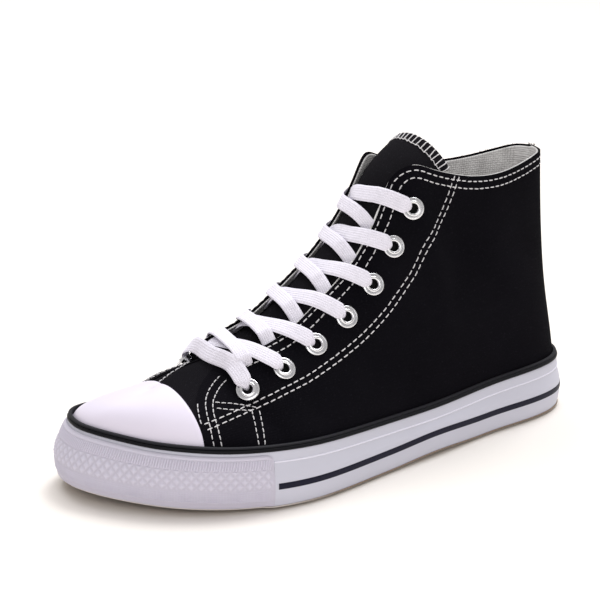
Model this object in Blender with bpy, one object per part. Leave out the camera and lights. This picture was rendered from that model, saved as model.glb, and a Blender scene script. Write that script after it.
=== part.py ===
"""Canvas high-top sneaker for the left foot, as an assembly of separate solids.

Metres, +Z up, +X to the toe, +Y to the outer (lateral) side of the left foot.
The upper, toe cap, tongue, insole, foxing and outsole all grow from the same
plan of the sole, so their walls stay parallel where they meet.
"""
import math

import bmesh
import bpy
import numpy as np
from mathutils.bvhtree import BVHTree

# ---- sizes of the shoe -------------------------------------------------
LENGTH = 0.2675           # foxing, back of heel to tip of toe
BALL_WIDTH = 0.101        # foxing at the ball of the foot
COLLAR_RISE = 0.1268      # floor to the collar at the back seam
TOE_SPRING = 0.0045       # tip of the toe above the floor
ARCH_RISE = 0.0010        # waist of the sole above the floor
HEEL_BEVEL = 0.0015       # back edge of the heel above the floor

# table steps: one step is a millimetre on a shoe of the sizes above
ALONG = LENGTH / 267.5
SIDE = BALL_WIDTH / 101.0
RISE = COLLAR_RISE / 126.8
MM = 0.001

# ---- sole --------------------------------------------------------------
OUTSOLE_EDGE = 0.0015     # gum layer that shows under the foxing
OUTSOLE_TOP = 0.0088      # top of the core inside the foxing
FOXING_WALL = 0.0015      # foxing band at its top edge
FOXING_LEAN = 0.0023      # top edge of the foxing inside its widest line
TOE_LEAN = 0.0022         # added to the lean round the toe
TIP_LEAN = 0.0022         # added again at the very tip
FOXING_HEEL = 0.0252      # top of the foxing above the floor, heel
FOXING_WAIST = 0.0231     # the same at the waist
FOXING_TOE = 0.0265       # the same at the toe
GAP = 0.0003              # clearance between glued pieces
GROOVE_WIDTH = 0.0028
GROOVE_DEPTH = 0.0016
GROOVE_ZIGZAG = 0.0022

# ---- upper -------------------------------------------------------------
WALL = 0.0018             # canvas and lining together
UPPER_FOOT = 0.0091       # lower edge of the upper, inside the foxing
TOE_CAP_WALL = 0.0013
TOE_CAP_REAR = 0.2270     # rear edge of the toe cap, from the heel
TOE_CAP_FOOT = 0.0150
PIPING_RISE = 0.0024
INSOLE_THICK = 0.0040
TONGUE_THICK = 0.0024
TONGUE_ROOM = 0.0010      # clear of the upper's lining

# ---- eyelets and lace --------------------------------------------------
EYELET_RADIUS = 0.0052
EYELET_BORE = 0.0021
EYELET_BARREL = 0.0026
EYELET_HOLE = 0.0031      # hole through the canvas
LACE_WIDTH = 0.0076
LACE_THICK = 0.0012
LACE_ROOM = 0.0012        # middle of a band over the cloth

# ---- mesh --------------------------------------------------------------
HALF = 32                 # stations from the toe tip to the heel seam
RIB_ROWS = 7              # points on a rib above the foxing

# Plan of the foxing. A row per section across the sole.
# along, lateral half width, medial half width
SOLE_PLAN = (
    (0.0, 0.0, 0.0),
    (3.0, 15.3, 14.2),
    (12.0, 26.6, 25.4),
    (30.0, 33.6, 31.6),
    (60.0, 35.6, 33.4),
    (100.0, 40.3, 34.2),
    (130.0, 43.4, 38.2),
    (160.0, 47.4, 44.2),
    (182.0, 49.0, 49.2),
    (205.0, 45.8, 51.8),
    (228.0, 36.6, 51.0),
    (247.0, 21.7, 48.8),
    (260.0, 3.6, 41.2),
    (267.5, -18.6, 18.6),
)

# Top line of the upper: vamp ridge, throat edge and collar in one run.
# share of the way round from toe to heel, along, centre line, half gap, rise
TOP_LINE = (
    (0.000, 232.0, -6.0, 0.0, 45.5),
    (0.063, 230.5, -5.8, 0.0, 46.1),
    (0.135, 226.5, -5.2, 0.0, 48.0),
    (0.213, 219.0, -4.2, 0.0, 50.6),
    (0.280, 210.0, -3.4, 0.0, 53.8),
    (0.3125, 204.5, -3.0, 0.0, 56.0),
    (0.332, 202.0, -2.8, 10.0, 57.4),
    (0.352, 197.5, -2.3, 13.6, 59.3),
    (0.385, 188.0, -1.6, 14.8, 62.2),
    (0.435, 172.0, -0.8, 15.0, 67.8),
    (0.485, 154.0, 0.0, 14.8, 79.5),
    (0.530, 137.5, 0.0, 14.5, 91.5),
    (0.570, 125.0, 0.0, 13.4, 105.4),
    (0.602, 117.8, 0.0, 12.3, 117.0),
    (0.629, 112.6, 0.0, 12.0, 127.0),
    (0.656, 105.0, 0.0, 15.6, 132.4),
    (0.695, 94.0, 0.0, 19.0, 130.0),
    (0.740, 81.0, 0.0, 20.2, 125.8),
    (0.800, 65.0, 0.0, 20.0, 122.6),
    (0.850, 50.0, 0.0, 18.8, 121.8),
    (0.900, 34.5, 0.0, 15.8, 122.9),
    (0.945, 20.4, 0.0, 12.2, 125.0),
    (0.975, 13.2, 0.0, 7.8, 126.3),
    (1.000, 10.8, 0.0, 0.0, 126.8),
)

# How a rib of the upper leaves the foxing and how it reaches the top line.
# share, stand, lateral splay, medial splay, reach, turn, fall, fullness of the medial side
# stand and reach are handle lengths, the rest are degrees: splay leans out,
# turn is 0 to the toe and 180 to the heel, fall is below the horizontal
RIB_FORM = (
    (0.000, 8.0, 0.0, 0.0, 13.5, 0.0, 8.0, 1.00),
    (0.063, 9.0, 0.0, -8.0, 15.0, 22.0, 7.0, 0.88),
    (0.135, 10.5, -2.0, -20.0, 16.5, 45.0, 6.0, 0.66),
    (0.190, 11.0, -5.0, -25.0, 16.3, 61.0, 5.2, 0.62),
    (0.235, 11.0, -8.0, -8.0, 15.6, 72.0, 4.6, 0.94),
    (0.280, 11.0, -10.0, -6.0, 15.0, 82.0, 4.0, 1.0),
    (0.332, 11.0, -14.0, -9.0, 13.0, 95.0, 14.0, 1.0),
    (0.435, 14.0, -14.0, -12.0, 14.0, 112.0, 26.0, 1.0),
    (0.530, 24.0, -8.0, -12.0, 18.0, 122.0, 30.0, 1.0),
    (0.625, 34.0, -2.0, -6.0, 26.0, 128.0, 50.0, 1.0),
    (0.690, 36.0, 0.0, -3.0, 34.0, 110.0, 84.0, 1.0),
    (0.800, 36.0, 0.0, 0.0, 34.0, 100.0, 88.0, 1.0),
    (0.900, 30.0, -4.0, -4.0, 34.0, 130.0, 88.0, 1.0),
    (1.000, 26.0, -4.0, -4.0, 30.0, 180.0, 88.0, 1.0),
)

# Tongue down its middle: along, rise, half width, wrap of its arc in degrees
TONGUE = (
    (206.0, 49.4, 12.0, 20.0),
    (198.0, 54.4, 14.5, 26.0),
    (186.0, 60.6, 19.0, 37.0),
    (172.0, 66.9, 21.5, 45.0),
    (154.0, 79.2, 22.0, 52.0),
    (138.0, 92.3, 21.5, 55.0),
    (126.5, 105.8, 20.0, 60.0),
    (119.0, 117.3, 18.5, 66.0),
    (112.5, 127.0, 17.2, 70.0),
    (103.5, 135.4, 16.5, 76.0),
    (91.0, 142.8, 16.8, 80.0),
)

# Eyelets from the lowest pair up: along, rise
EYELETS = (
    (200.6, 47.1),
    (183.0, 54.5),
    (164.6, 61.7),
    (147.5, 71.2),
    (131.3, 83.1),
    (117.7, 97.9),
    (105.7, 113.5),
)

# Tread: along, half width of the groove inside the border, for heel and ball
TREAD = (
    (22.0, 17.0),
    (34.0, 21.0),
    (46.0, 23.0),
    (58.0, 23.5),
    (150.0, 30.0),
    (162.0, 33.0),
    (174.0, 35.5),
    (186.0, 37.0),
    (198.0, 37.0),
    (210.0, 35.0),
    (222.0, 31.0),
    (234.0, 24.0),
)

# name: red, green, blue, roughness, metallic
FINISHES = {
    "gum_rubber": (0.52, 0.36, 0.22, 0.60, 0.0),
    "white_rubber": (0.82, 0.81, 0.84, 0.50, 0.0),
    "cap_rubber": (0.86, 0.84, 0.90, 0.38, 0.0),
    "black_rubber": (0.030, 0.030, 0.034, 0.50, 0.0),
    "black_canvas": (0.012, 0.012, 0.015, 0.90, 0.0),
    "tongue_canvas": (0.014, 0.014, 0.017, 0.90, 0.0),
    "insole_cloth": (0.62, 0.60, 0.58, 0.90, 0.0),
    "eyelet_metal": (0.78, 0.78, 0.80, 0.25, 1.0),
    "lace_cotton": (0.86, 0.85, 0.90, 0.85, 0.0),
}


# ---- helpers -----------------------------------------------------------
def spline(knots, rows, at, closed=False):
    """Cubic curve through rows of numbers, natural or closed on itself."""
    k = np.asarray(knots, float)
    v = np.asarray(rows, float)
    n = len(k)
    h = np.diff(k)
    m = n - 1 if closed else n
    left = np.zeros((m, m))
    right = np.zeros((m, v.shape[1]))
    for i in range(m):
        if not closed and i in (0, n - 1):
            left[i, i] = 1.0
            continue
        p = (i - 1) % m if closed else i - 1
        q = (i + 1) % m if closed else i + 1
        before = h[p] if closed else h[i - 1]
        after = h[i]
        left[i, p] += before
        left[i, i] += 2.0 * (before + after)
        left[i, q] += after
        right[i] = 6.0 * ((v[i + 1] - v[i]) / after - (v[i] - v[p]) / before)
    curve = np.linalg.solve(left, right)
    if closed:
        curve = np.vstack([curve, curve[:1]])
    at = np.atleast_1d(np.asarray(at, float))
    if closed:
        at = k[0] + (at - k[0]) % (k[-1] - k[0])
    j = np.clip(np.searchsorted(k, at, side="right") - 1, 0, n - 2)
    step = h[j][:, None]
    a = (k[j + 1] - at)[:, None] / step
    b = (at - k[j])[:, None] / step
    swing = (a ** 3 - a) * curve[j] + (b ** 3 - b) * curve[j + 1]
    return a * v[j] + b * v[j + 1] + swing * step ** 2 / 6.0


def table(rows, at):
    """Columns of a table after the first, read at the first column's values."""
    rows = np.asarray(rows, float)
    return spline(rows[:, 0], rows[:, 1:], at)


def unit(v):
    v = np.asarray(v, float)
    return v / np.maximum(np.linalg.norm(v, axis=-1, keepdims=True), 1e-12)


def smoothstep(x, low, high):
    t = np.clip((np.asarray(x, float) - low) / (high - low), 0.0, 1.0)
    return t * t * (3.0 - 2.0 * t)


# ---- plan of the sole --------------------------------------------------
def plan_stations():
    """Points and outward normals round the foxing, HALF stations to a side."""
    first, last = SOLE_PLAN[0], SOLE_PLAN[-1]
    mid = SOLE_PLAN[1:-1]
    loop = [(first[0], 0.0)]
    loop += [(a, out) for a, out, _ in mid]
    loop += [(last[0], last[1])]
    loop += [(a, -inn) for a, _, inn in reversed(mid)]
    loop += [(first[0], 0.0)]
    loop = np.array(loop) * (ALONG, SIDE)
    run = np.r_[0.0, np.cumsum(np.linalg.norm(np.diff(loop, axis=0), axis=1))]
    fine = spline(run, loop, np.linspace(0.0, run[-1], 3001)[:-1], closed=True)
    toe = int(np.argmin(np.hypot(*(fine - loop[len(mid) + 1]).T)))
    sides = []
    for side in (fine[toe::-1], np.vstack([fine[toe:], fine[:1]])):
        length = np.r_[0.0, np.cumsum(np.linalg.norm(np.diff(side, axis=0), axis=1))]
        want = np.linspace(0.0, length[-1], HALF + 1)
        sides.append(np.column_stack([np.interp(want, length, side[:, c]) for c in (0, 1)]))
    lateral, medial = sides
    points = np.vstack([lateral, medial[-2:0:-1]])
    ahead = np.roll(points, -1, axis=0) - np.roll(points, 1, axis=0)
    normals = unit(np.column_stack([ahead[:, 1], -ahead[:, 0]]))
    return points, normals


PLAN, PLAN_OUT = plan_stations()
ROUND = len(PLAN)


def ground(x):
    """Height of the sole's underside above the floor."""
    toe = np.clip((x - 0.178) / 0.0885, 0.0, 1.0)
    heel = np.clip((0.010 - x) / 0.010, 0.0, 1.0)
    waist = np.clip((x - 0.072) / 0.066, 0.0, 1.0)
    return (TOE_SPRING * toe ** 2 + HEEL_BEVEL * heel ** 2
            + ARCH_RISE * np.sin(np.pi * waist) ** 2)


def spring(x):
    """Toe spring alone, which lifts everything above the sole."""
    toe = np.clip((x - 0.178) / 0.0885, 0.0, 1.0)
    return TOE_SPRING * toe ** 2


def foxing_top(x):
    x = np.asarray(x, float)
    rise = table(((0.0, FOXING_HEEL), (0.040, FOXING_HEEL - 0.0003), (0.110, FOXING_WAIST),
                  (0.190, FOXING_TOE - 0.0006), (0.265, FOXING_TOE)), x)
    return rise[:, 0] + spring(x)


def toe_share(x):
    """0 behind the bumper's ends, 1 round the toe."""
    return smoothstep(x, 0.196, 0.208)


def ring(inset):
    """Plan loop moved inward by inset, a number or one per station."""
    return PLAN - PLAN_OUT * np.broadcast_to(inset, ROUND)[:, None]


BUMPER_WALL = 0.0013
BUMPER_REAR = 0.2045      # rear ends of the bumper, from the heel
BUMPER_TOP = 0.80         # how far the bumper reaches up the foxing's sloped edge
FOXING_OUT = (BUMPER_WALL + GAP) * toe_share(PLAN[:, 0])
LEAN = (FOXING_LEAN + TOE_LEAN * smoothstep(PLAN[:, 0], 0.215, 0.258)
        + TIP_LEAN * smoothstep(PLAN[:, 0], 0.248, 0.2665))
FOXING_IN = LEAN + FOXING_WALL
CAP_ROOM = (TOE_CAP_WALL + GAP) * smoothstep(PLAN[:, 0], 0.205, 0.222)
UPPER_OUT = FOXING_IN + GAP + CAP_ROOM


# ---- mesh builders -----------------------------------------------------
def add_object(name, verts, faces, finish, smooth=True, angle=35.0):
    mesh = bpy.data.meshes.new(name)
    mesh.from_pydata([tuple(map(float, v)) for v in verts], [], faces)
    bm = bmesh.new()
    bm.from_mesh(mesh)
    bmesh.ops.remove_doubles(bm, verts=bm.verts, dist=1e-6)
    bmesh.ops.recalc_face_normals(bm, faces=bm.faces)
    bmesh.ops.triangulate(bm, faces=bm.faces)
    bm.to_mesh(mesh)
    bm.free()
    ob = bpy.data.objects.new(name, mesh)
    bpy.context.scene.collection.objects.link(ob)
    if smooth:
        shade(mesh, angle)
    paint(ob, finish)
    return ob


def shade(mesh, angle):
    """Smooth faces, with the edges sharper than the angle kept crisp."""
    for face in mesh.polygons:
        face.use_smooth = True
    bm = bmesh.new()
    bm.from_mesh(mesh)
    for edge in bm.edges:
        if len(edge.link_faces) == 2:
            edge.smooth = edge.calc_face_angle(0.0) < math.radians(angle)
    bm.to_mesh(mesh)
    bm.free()


def paint(ob, finish):
    red, green, blue, rough, metal = FINISHES[finish]
    mat = bpy.data.materials.new(ob.name)
    mat.use_nodes = True
    shader = mat.node_tree.nodes["Principled BSDF"]
    shader.inputs["Base Color"].default_value = (red, green, blue, 1.0)
    shader.inputs["Roughness"].default_value = rough
    shader.inputs["Metallic"].default_value = metal
    ob.data.materials.clear()
    ob.data.materials.append(mat)


def tube_faces(rings, size, close_rings=True, close_size=True):
    """Quads between rings of size points each."""
    faces = []
    for i in range(rings if close_rings else rings - 1):
        for j in range(size if close_size else size - 1):
            a = i * size + j
            b = i * size + (j + 1) % size
            c = ((i + 1) % rings) * size + (j + 1) % size
            d = ((i + 1) % rings) * size + j
            faces.append((a, b, c, d))
    return faces


def band(name, profile, finish, stations=None, angle=35.0):
    """Solid swept round the plan. profile gives (inset, z) arrays per corner."""
    keep = range(ROUND) if stations is None else stations
    loops = []
    for inset, height in profile:
        flat = ring(inset)
        loops.append(np.column_stack([flat, np.broadcast_to(height, ROUND)]))
    verts = [loops[j][i] for i in keep for j in range(len(loops))]
    size = len(loops)
    count = len(keep)
    faces = tube_faces(count, size, close_rings=stations is None)
    if stations is not None:
        faces.append(tuple(range(size)))
        faces.append(tuple(range((count - 1) * size, count * size)))
    return add_object(name, verts, faces, finish, angle=angle)


def cap_grid(loop, columns):
    """Rows of points across a loop from the toe to the heel."""
    rows = []
    for i in range(HALF + 1):
        a = loop[i]
        b = loop[(ROUND - i) % ROUND]
        if i in (0, HALF):
            rows.append([a])
            continue
        rows.append([a + (b - a) * c / columns for c in range(columns + 1)])
    return rows


def grid_mesh(rows):
    """Points and faces of rows that may end in a single point."""
    verts = []
    index = []
    for row in rows:
        index.append(list(range(len(verts), len(verts) + len(row))))
        verts += row
    faces = []
    for top, low in zip(index, index[1:]):
        if len(top) == len(low):
            faces += [(top[j], top[j + 1], low[j + 1], low[j]) for j in range(len(top) - 1)]
        elif len(top) == 1:
            faces += [(top[0], low[j + 1], low[j]) for j in range(len(low) - 1)]
        else:
            faces += [(top[j], top[j + 1], low[0]) for j in range(len(top) - 1)]
    return verts, faces


def slab(name, levels, finish, columns=4, angle=35.0):
    """Filled solid over the plan. levels give (inset, height function)."""
    loops = []
    for inset, height in levels:
        flat = ring(inset)
        loops.append(np.column_stack([flat, height(flat[:, 0])]))
    verts = []
    faces = []
    for loop, height in ((loops[0], levels[0][1]), (loops[-1], levels[-1][1])):
        rows = cap_grid(loop, columns)
        for row in rows:
            for point in row[1:-1]:
                point[2] = height(np.array([point[0]]))[0]
        v, f = grid_mesh(rows)
        faces += [tuple(k + len(verts) for k in face) for face in f]
        verts += v
    start = len(verts)
    for loop in loops:
        verts += list(loop)
    for j in range(len(loops) - 1):
        for i in range(ROUND):
            a = start + j * ROUND + i
            b = start + j * ROUND + (i + 1) % ROUND
            faces.append((a, b, b + ROUND, a + ROUND))
    return add_object(name, verts, faces, finish, angle=angle)


def cut(target, cutters, operation="DIFFERENCE"):
    """Boolean with wire-shown cutters that are removed afterwards."""
    for cutter in cutters:
        cutter.hide_render = True
        cutter.display_type = "WIRE"
        mod = target.modifiers.new("cut", "BOOLEAN")
        mod.operation = operation
        mod.solver = "EXACT"
        mod.object = cutter
    depsgraph = bpy.context.evaluated_depsgraph_get()
    done = bpy.data.meshes.new_from_object(target.evaluated_get(depsgraph))
    target.modifiers.clear()
    old = target.data
    mats = list(old.materials)
    target.data = done
    done.materials.clear()
    for mat in mats[:1]:
        done.materials.append(mat)
    for face in done.polygons:
        face.material_index = 0
    for cutter in cutters:
        bpy.data.objects.remove(cutter, do_unlink=True)
    bm = bmesh.new()
    bm.from_mesh(done)
    bmesh.ops.remove_doubles(bm, verts=bm.verts, dist=2e-6)
    bmesh.ops.dissolve_degenerate(bm, edges=bm.edges, dist=2e-6)
    bmesh.ops.triangulate(bm, faces=bm.faces)
    bm.to_mesh(done)
    bm.free()
    shade(done, 35.0)


# ---- sole pieces -------------------------------------------------------
def outsole():
    core = FOXING_IN + GAP
    rim = FOXING_OUT + 0.0008
    sole = slab("outsole", (
        (rim + 0.0005, ground),
        (rim, lambda x: ground(x) + 0.0005),
        (rim, lambda x: ground(x) + OUTSOLE_EDGE),
        (core, lambda x: ground(x) + OUTSOLE_EDGE),
        (core, lambda x: spring(x) + OUTSOLE_TOP),
    ), "gum_rubber", columns=3)
    verts = []
    faces = []
    for along, half in TREAD:
        base = len(verts)
        centre = np.interp(along * ALONG, PLAN[:HALF + 1, 0][::-1],
                           (PLAN[:HALF + 1, 1] + PLAN[-np.arange(HALF + 1), 1])[::-1] / 2.0)
        steps = 4
        for j in range(steps + 1):
            y = centre + half * SIDE * (2.0 * j / steps - 1.0)
            x = along * ALONG + GROOVE_ZIGZAG * (1 if j % 2 else -1)
            low = ground(np.array([x]))[0]
            for dx, z in ((-0.5, -0.004), (0.5, -0.004), (0.5, GROOVE_DEPTH), (-0.5, GROOVE_DEPTH)):
                verts.append((x + dx * GROOVE_WIDTH, y, low + z))
        faces += [tuple(base + k for k in f)
                  for f in tube_faces(steps + 1, 4, close_rings=False)]
        faces.append(tuple(base + k for k in range(4)))
        faces.append(tuple(base + 4 * steps + k for k in range(4)))
    grooves = add_object("grooves", verts, faces, "gum_rubber", smooth=False)
    cut(sole, [grooves])
    return sole


def foxing():
    x = PLAN[:, 0]
    low = ground(x) + OUTSOLE_EDGE + 0.0002
    top = foxing_top(x)
    shoulder = np.maximum(LEAN * 0.55, FOXING_OUT)
    return band("foxing", (
        (FOXING_OUT + 0.0009, low),
        (FOXING_OUT + 0.0002, low + 0.0040),
        (FOXING_OUT, low + 0.0110),
        (shoulder, low * 0.3 + top * 0.7),
        (LEAN, top),
        (FOXING_IN, top),
        (FOXING_IN, low),
    ), "white_rubber")


def bumper_stations():
    near = [i for i in range(HALF + 1) if PLAN[i, 0] > BUMPER_REAR]
    far = [i for i in range(HALF + 1, ROUND) if PLAN[i, 0] > BUMPER_REAR]
    return far + near


def toe_bumper():
    x = PLAN[:, 0]
    low = ground(x) + OUTSOLE_EDGE + 0.0006
    inner = FOXING_OUT - GAP
    lean = np.maximum(LEAN * 0.55, FOXING_OUT) - GAP
    rest = ground(x) + OUTSOLE_EDGE + 0.0002
    bend = rest * 0.3 + foxing_top(x) * 0.7
    peak = lean + (LEAN - GAP - lean) * BUMPER_TOP
    high = bend + (foxing_top(x) - bend) * BUMPER_TOP
    return band("toe_bumper", (
        (inner + 0.0009, low),
        (inner + 0.0009 - BUMPER_WALL * 0.8, low),
        (inner + 0.0002 - BUMPER_WALL, rest + 0.0040),
        (inner - BUMPER_WALL, rest + 0.0110),
        (lean - BUMPER_WALL, bend),
        (peak - BUMPER_WALL * 0.8, high),
        (peak, high),
        (lean, bend),
        (inner, rest + 0.0110),
        (inner + 0.0002, rest + 0.0040),
    ), "white_rubber", stations=bumper_stations())


def piping():
    top = foxing_top(PLAN[:, 0]) + 0.0002
    out = LEAN + 0.0001
    inner = FOXING_IN
    return band("piping", (
        (out, top),
        (out + 0.0002, top + PIPING_RISE * 0.85),
        (inner, top + PIPING_RISE),
        (inner, top),
    ), "black_rubber", angle=50.0)


# ---- upper -------------------------------------------------------------
def top_point(share, side):
    """Point of the top line; side is 1 lateral and -1 medial."""
    along, centre, gap, rise = table(TOP_LINE, share).T
    gap = np.maximum(gap, 0.0)
    ridge = np.asarray(share) <= TOP_LINE[5][0] + 1e-9
    gap = np.where(ridge | (np.asarray(share) >= 1.0), 0.0, gap)
    return np.column_stack([along * ALONG, (centre + side * gap) * SIDE, rise * RISE])


def station_at(share, side):
    """Plan point, outward normal and inset of the upper at a share."""
    at = np.atleast_1d(share) * HALF
    i = np.clip(np.floor(at).astype(int), 0, HALF - 1)
    t = (at - i)[:, None]
    a = i if side > 0 else (-i) % ROUND
    b = i + 1 if side > 0 else (-(i + 1)) % ROUND
    flat = PLAN[a] * (1 - t) + PLAN[b] * t
    out = unit(PLAN_OUT[a] * (1 - t) + PLAN_OUT[b] * t)
    inset = UPPER_OUT[a] * (1 - t[:, 0]) + UPPER_OUT[b] * t[:, 0]
    return flat, out, inset


def rib(share, side, rows):
    """Points of ribs of the upper from the foxing up to the top line."""
    share = np.atleast_1d(np.asarray(share, float))
    flat, out, inset = station_at(share, side)
    foot = flat - out * inset[:, None]
    base = foxing_top(flat[:, 0]) - 0.0010
    stand, lat, med, reach, turn, fall, full = table(RIB_FORM, share).T
    if side < 0:
        stand, reach = stand * full, reach * (0.3 + 0.7 * full)
    splay = np.radians(lat if side > 0 else med)
    turn = np.radians(np.where(share >= 1.0, 180.0, turn))
    fall = np.radians(fall)
    p0 = np.column_stack([foot, base])
    lean = np.column_stack([out * np.sin(splay)[:, None], np.cos(splay)])
    p1 = p0 + lean * (stand * RISE)[:, None]
    p3 = top_point(share, side)
    away = np.column_stack([np.cos(turn) * np.cos(fall), side * np.sin(turn) * np.cos(fall),
                            -np.sin(fall)])
    p2 = p3 + away * (reach * RISE)[:, None]
    t = np.linspace(0.0, 1.0, rows)[None, :, None]
    p0, p1, p2, p3 = (p[:, None, :] for p in (p0, p1, p2, p3))
    return ((1 - t) ** 3 * p0 + 3 * (1 - t) ** 2 * t * p1 + 3 * (1 - t) * t ** 2 * p2
            + t ** 3 * p3)


def upper_grid(side):
    """Rib points of one side with the part that stands inside the foxing."""
    share = np.arange(HALF + 1) / HALF
    above = rib(share, side, RIB_ROWS + 1)
    low = above[:, 0].copy()
    low[:, 2] = UPPER_FOOT + spring(low[:, 0])
    middle = (low + above[:, 0]) / 2.0
    return np.concatenate([low[:, None], middle[:, None], above], axis=1)


def upper_surface():
    """Shared points, quads and open borders of the upper's outer face."""
    lateral = upper_grid(1)
    medial = upper_grid(-1)
    rows = lateral.shape[1]
    ridge_end = int(math.floor(TOP_LINE[5][0] * HALF + 1e-6))
    verts = []
    index = {}
    for side, grid in ((1, lateral), (-1, medial)):
        for i in range(HALF + 1):
            for j in range(rows):
                shared = i in (0, HALF) or (j == rows - 1 and i <= ridge_end)
                if side < 0 and shared:
                    index[side, i, j] = index[1, i, j]
                    continue
                index[side, i, j] = len(verts)
                verts.append(grid[i, j])
    verts = np.array(verts)
    quads = []
    for side in (1, -1):
        for i in range(HALF):
            for j in range(rows - 1):
                quad = [index[side, i, j], index[side, i + 1, j],
                        index[side, i + 1, j + 1], index[side, i, j + 1]]
                if side > 0:
                    quad.reverse()
                quads.append(quad)
    return verts, quads, index, rows, ridge_end


def vertex_normals(verts, quads):
    normals = np.zeros_like(verts)
    for quad in quads:
        a, b, c, d = verts[quad]
        face = np.cross(c - a, d - b)
        size = np.linalg.norm(face)
        if size > 0:
            normals[quad] += face / math.sqrt(size)
    return unit(normals)


SURFACE, QUADS, GRID, ROWS, RIDGE_END = upper_surface()
NORMALS = vertex_normals(SURFACE, QUADS)
if (NORMALS[GRID[1, HALF // 2, 3]] * (0, 1, 0)).sum() < 0:
    NORMALS = -NORMALS
# below the foxing's top the wall is upright, so it is moved in plan only
for (_, i_, j_), k_ in GRID.items():
    if j_ <= 1:
        NORMALS[k_] = unit(NORMALS[k_] * (1, 1, 0))
FACE = BVHTree.FromPolygons([tuple(map(float, v)) for v in SURFACE], QUADS)


def shell(name, low, high, quads, finish):
    """Closed solid between two offsets of the upper's face."""
    used = sorted({k for quad in quads for k in quad})
    place = {k: n for n, k in enumerate(used)}
    count = len(used)
    verts = np.vstack([SURFACE[used] + NORMALS[used] * high,
                       SURFACE[used] + NORMALS[used] * low])
    edges = {}
    faces = []
    for quad in quads:
        q = [place[k] for k in quad]
        faces.append(tuple(q))
        faces.append(tuple(k + count for k in reversed(q)))
        for a, b in zip(q, q[1:] + q[:1]):
            if (b, a) in edges:
                edges.pop((b, a))
            else:
                edges[a, b] = True
    for a, b in edges:
        faces.append((b, a, a + count, b + count))
    return add_object(name, verts, faces, finish)


def rib_chain(share, side):
    points = rib(share, side, 41)[0]
    run = np.r_[0.0, np.cumsum(np.linalg.norm(np.diff(points[::-1], axis=0), axis=1))]
    return points[::-1], run


def off_edge(share, side, distance):
    """Point of the upper's face at a distance down a rib from the top line."""
    points, run = rib_chain(share, side)
    return np.array([np.interp(distance, run, points[:, c]) for c in range(3)])


def on_face(point):
    """Nearest point of the upper's outer face and the way out from it."""
    near, _, quad, _ = FACE.find_nearest(tuple(map(float, point)))
    return np.array(near), unit(NORMALS[QUADS[quad]].mean(axis=0))


def throat_share(point, side):
    """Share along the top line at the throat edge nearest to a point."""
    share = np.linspace(0.334, 0.640, 154)
    return share[np.argmin(np.linalg.norm(top_point(share, side) - point, axis=1))]


def eyelet_frame(row, side):
    """Seat of an eyelet on the face, the way out and the way up the throat."""
    start = (row[0] * ALONG, side * 0.08, row[1] * RISE)
    here = np.array(FACE.ray_cast(start, (0.0, -float(side), 0.0))[0])
    share = throat_share(here, side)
    up = unit(top_point(share + 0.01, side)[0] - top_point(share - 0.01, side)[0])
    out = on_face(here)[1]
    across = unit(np.cross(up, out))
    rim = []
    for turn in np.linspace(0.0, 2.0 * math.pi, 13)[:-1]:
        reach = EYELET_RADIUS * (up * math.cos(turn) + across * math.sin(turn))
        hit = FACE.ray_cast(tuple(here + reach + out * 0.01), tuple(-out))[0]
        rim.append(np.array(hit))
    rim = np.array(rim)
    flat = np.linalg.svd(rim - rim.mean(axis=0))[2][2]
    out = flat * np.sign(flat @ out)
    up = unit(up - out * (up @ out))
    rest = max((rim - here) @ out)
    return here + out * max(rest, 0.0), out, up, share


def rim_frame(share, side, distance):
    """Point just down a rib from the throat edge and the way out there."""
    here = off_edge(share, side, distance)
    return here, on_face(here)[1]


def upper():
    ob = shell("upper", -WALL, 0.0, QUADS, "black_canvas")
    holes = []
    for side in (1, -1):
        for row in EYELETS:
            here, out, _, _ = eyelet_frame(row, side)
            holes.append(rod("hole", here - out * 0.006, here + out * 0.006, EYELET_HOLE, 8))
    cut(ob, holes)
    return ob


def rod(name, start, end, radius, sides):
    axis = unit(np.asarray(end) - start)
    across = unit(np.cross(axis, (0.0, 0.0, 1.0) if abs(axis[2]) < 0.9 else (1.0, 0.0, 0.0)))
    other = np.cross(axis, across)
    verts = []
    for centre in (start, end):
        for k in range(sides):
            turn = 2.0 * math.pi * k / sides
            verts.append(centre + radius * (across * math.cos(turn) + other * math.sin(turn)))
    faces = tube_faces(2, sides, close_rings=False)
    faces += [tuple(range(sides)), tuple(range(sides, 2 * sides))]
    return add_object(name, verts, faces, "black_canvas", smooth=False)


def toe_cap():
    quads = []
    for side in (1, -1):
        for i in range(RIDGE_END):
            for j in range(1, ROWS - 1):
                quad = [GRID[side, i, j], GRID[side, i + 1, j],
                        GRID[side, i + 1, j + 1], GRID[side, i, j + 1]]
                if side > 0:
                    quad.reverse()
                quads.append(quad)
    ob = shell("toe_cap", GAP, GAP + TOE_CAP_WALL, quads, "cap_rubber")
    x0, x1 = TOE_CAP_REAR, 0.30
    box = [(x, y, z) for z in (TOE_CAP_FOOT, 0.09) for x, y in
           ((x0, -0.08), (x1, -0.08), (x1, 0.08), (x0, 0.08))]
    faces = tube_faces(2, 4, close_rings=False) + [(0, 1, 2, 3), (4, 5, 6, 7)]
    keep = add_object("cap_limit", box, faces, "cap_rubber", smooth=False)
    cut(ob, [keep], "INTERSECT")
    return ob


def insole():
    inset = UPPER_OUT + WALL + 0.0005
    return slab("insole", (
        (inset, lambda x: spring(x) + OUTSOLE_TOP + GAP),
        (inset, lambda x: spring(x) + OUTSOLE_TOP + GAP + INSOLE_THICK * 0.75),
        (inset + 0.0012, lambda x: spring(x) + OUTSOLE_TOP + GAP + INSOLE_THICK),
    ), "insole_cloth", columns=2)


# ---- tongue ------------------------------------------------------------
def throat_centre(along):
    rows = np.asarray(TOP_LINE, float)[:14][::-1]
    return np.interp(along, rows[:, 1], rows[:, 2])


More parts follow.
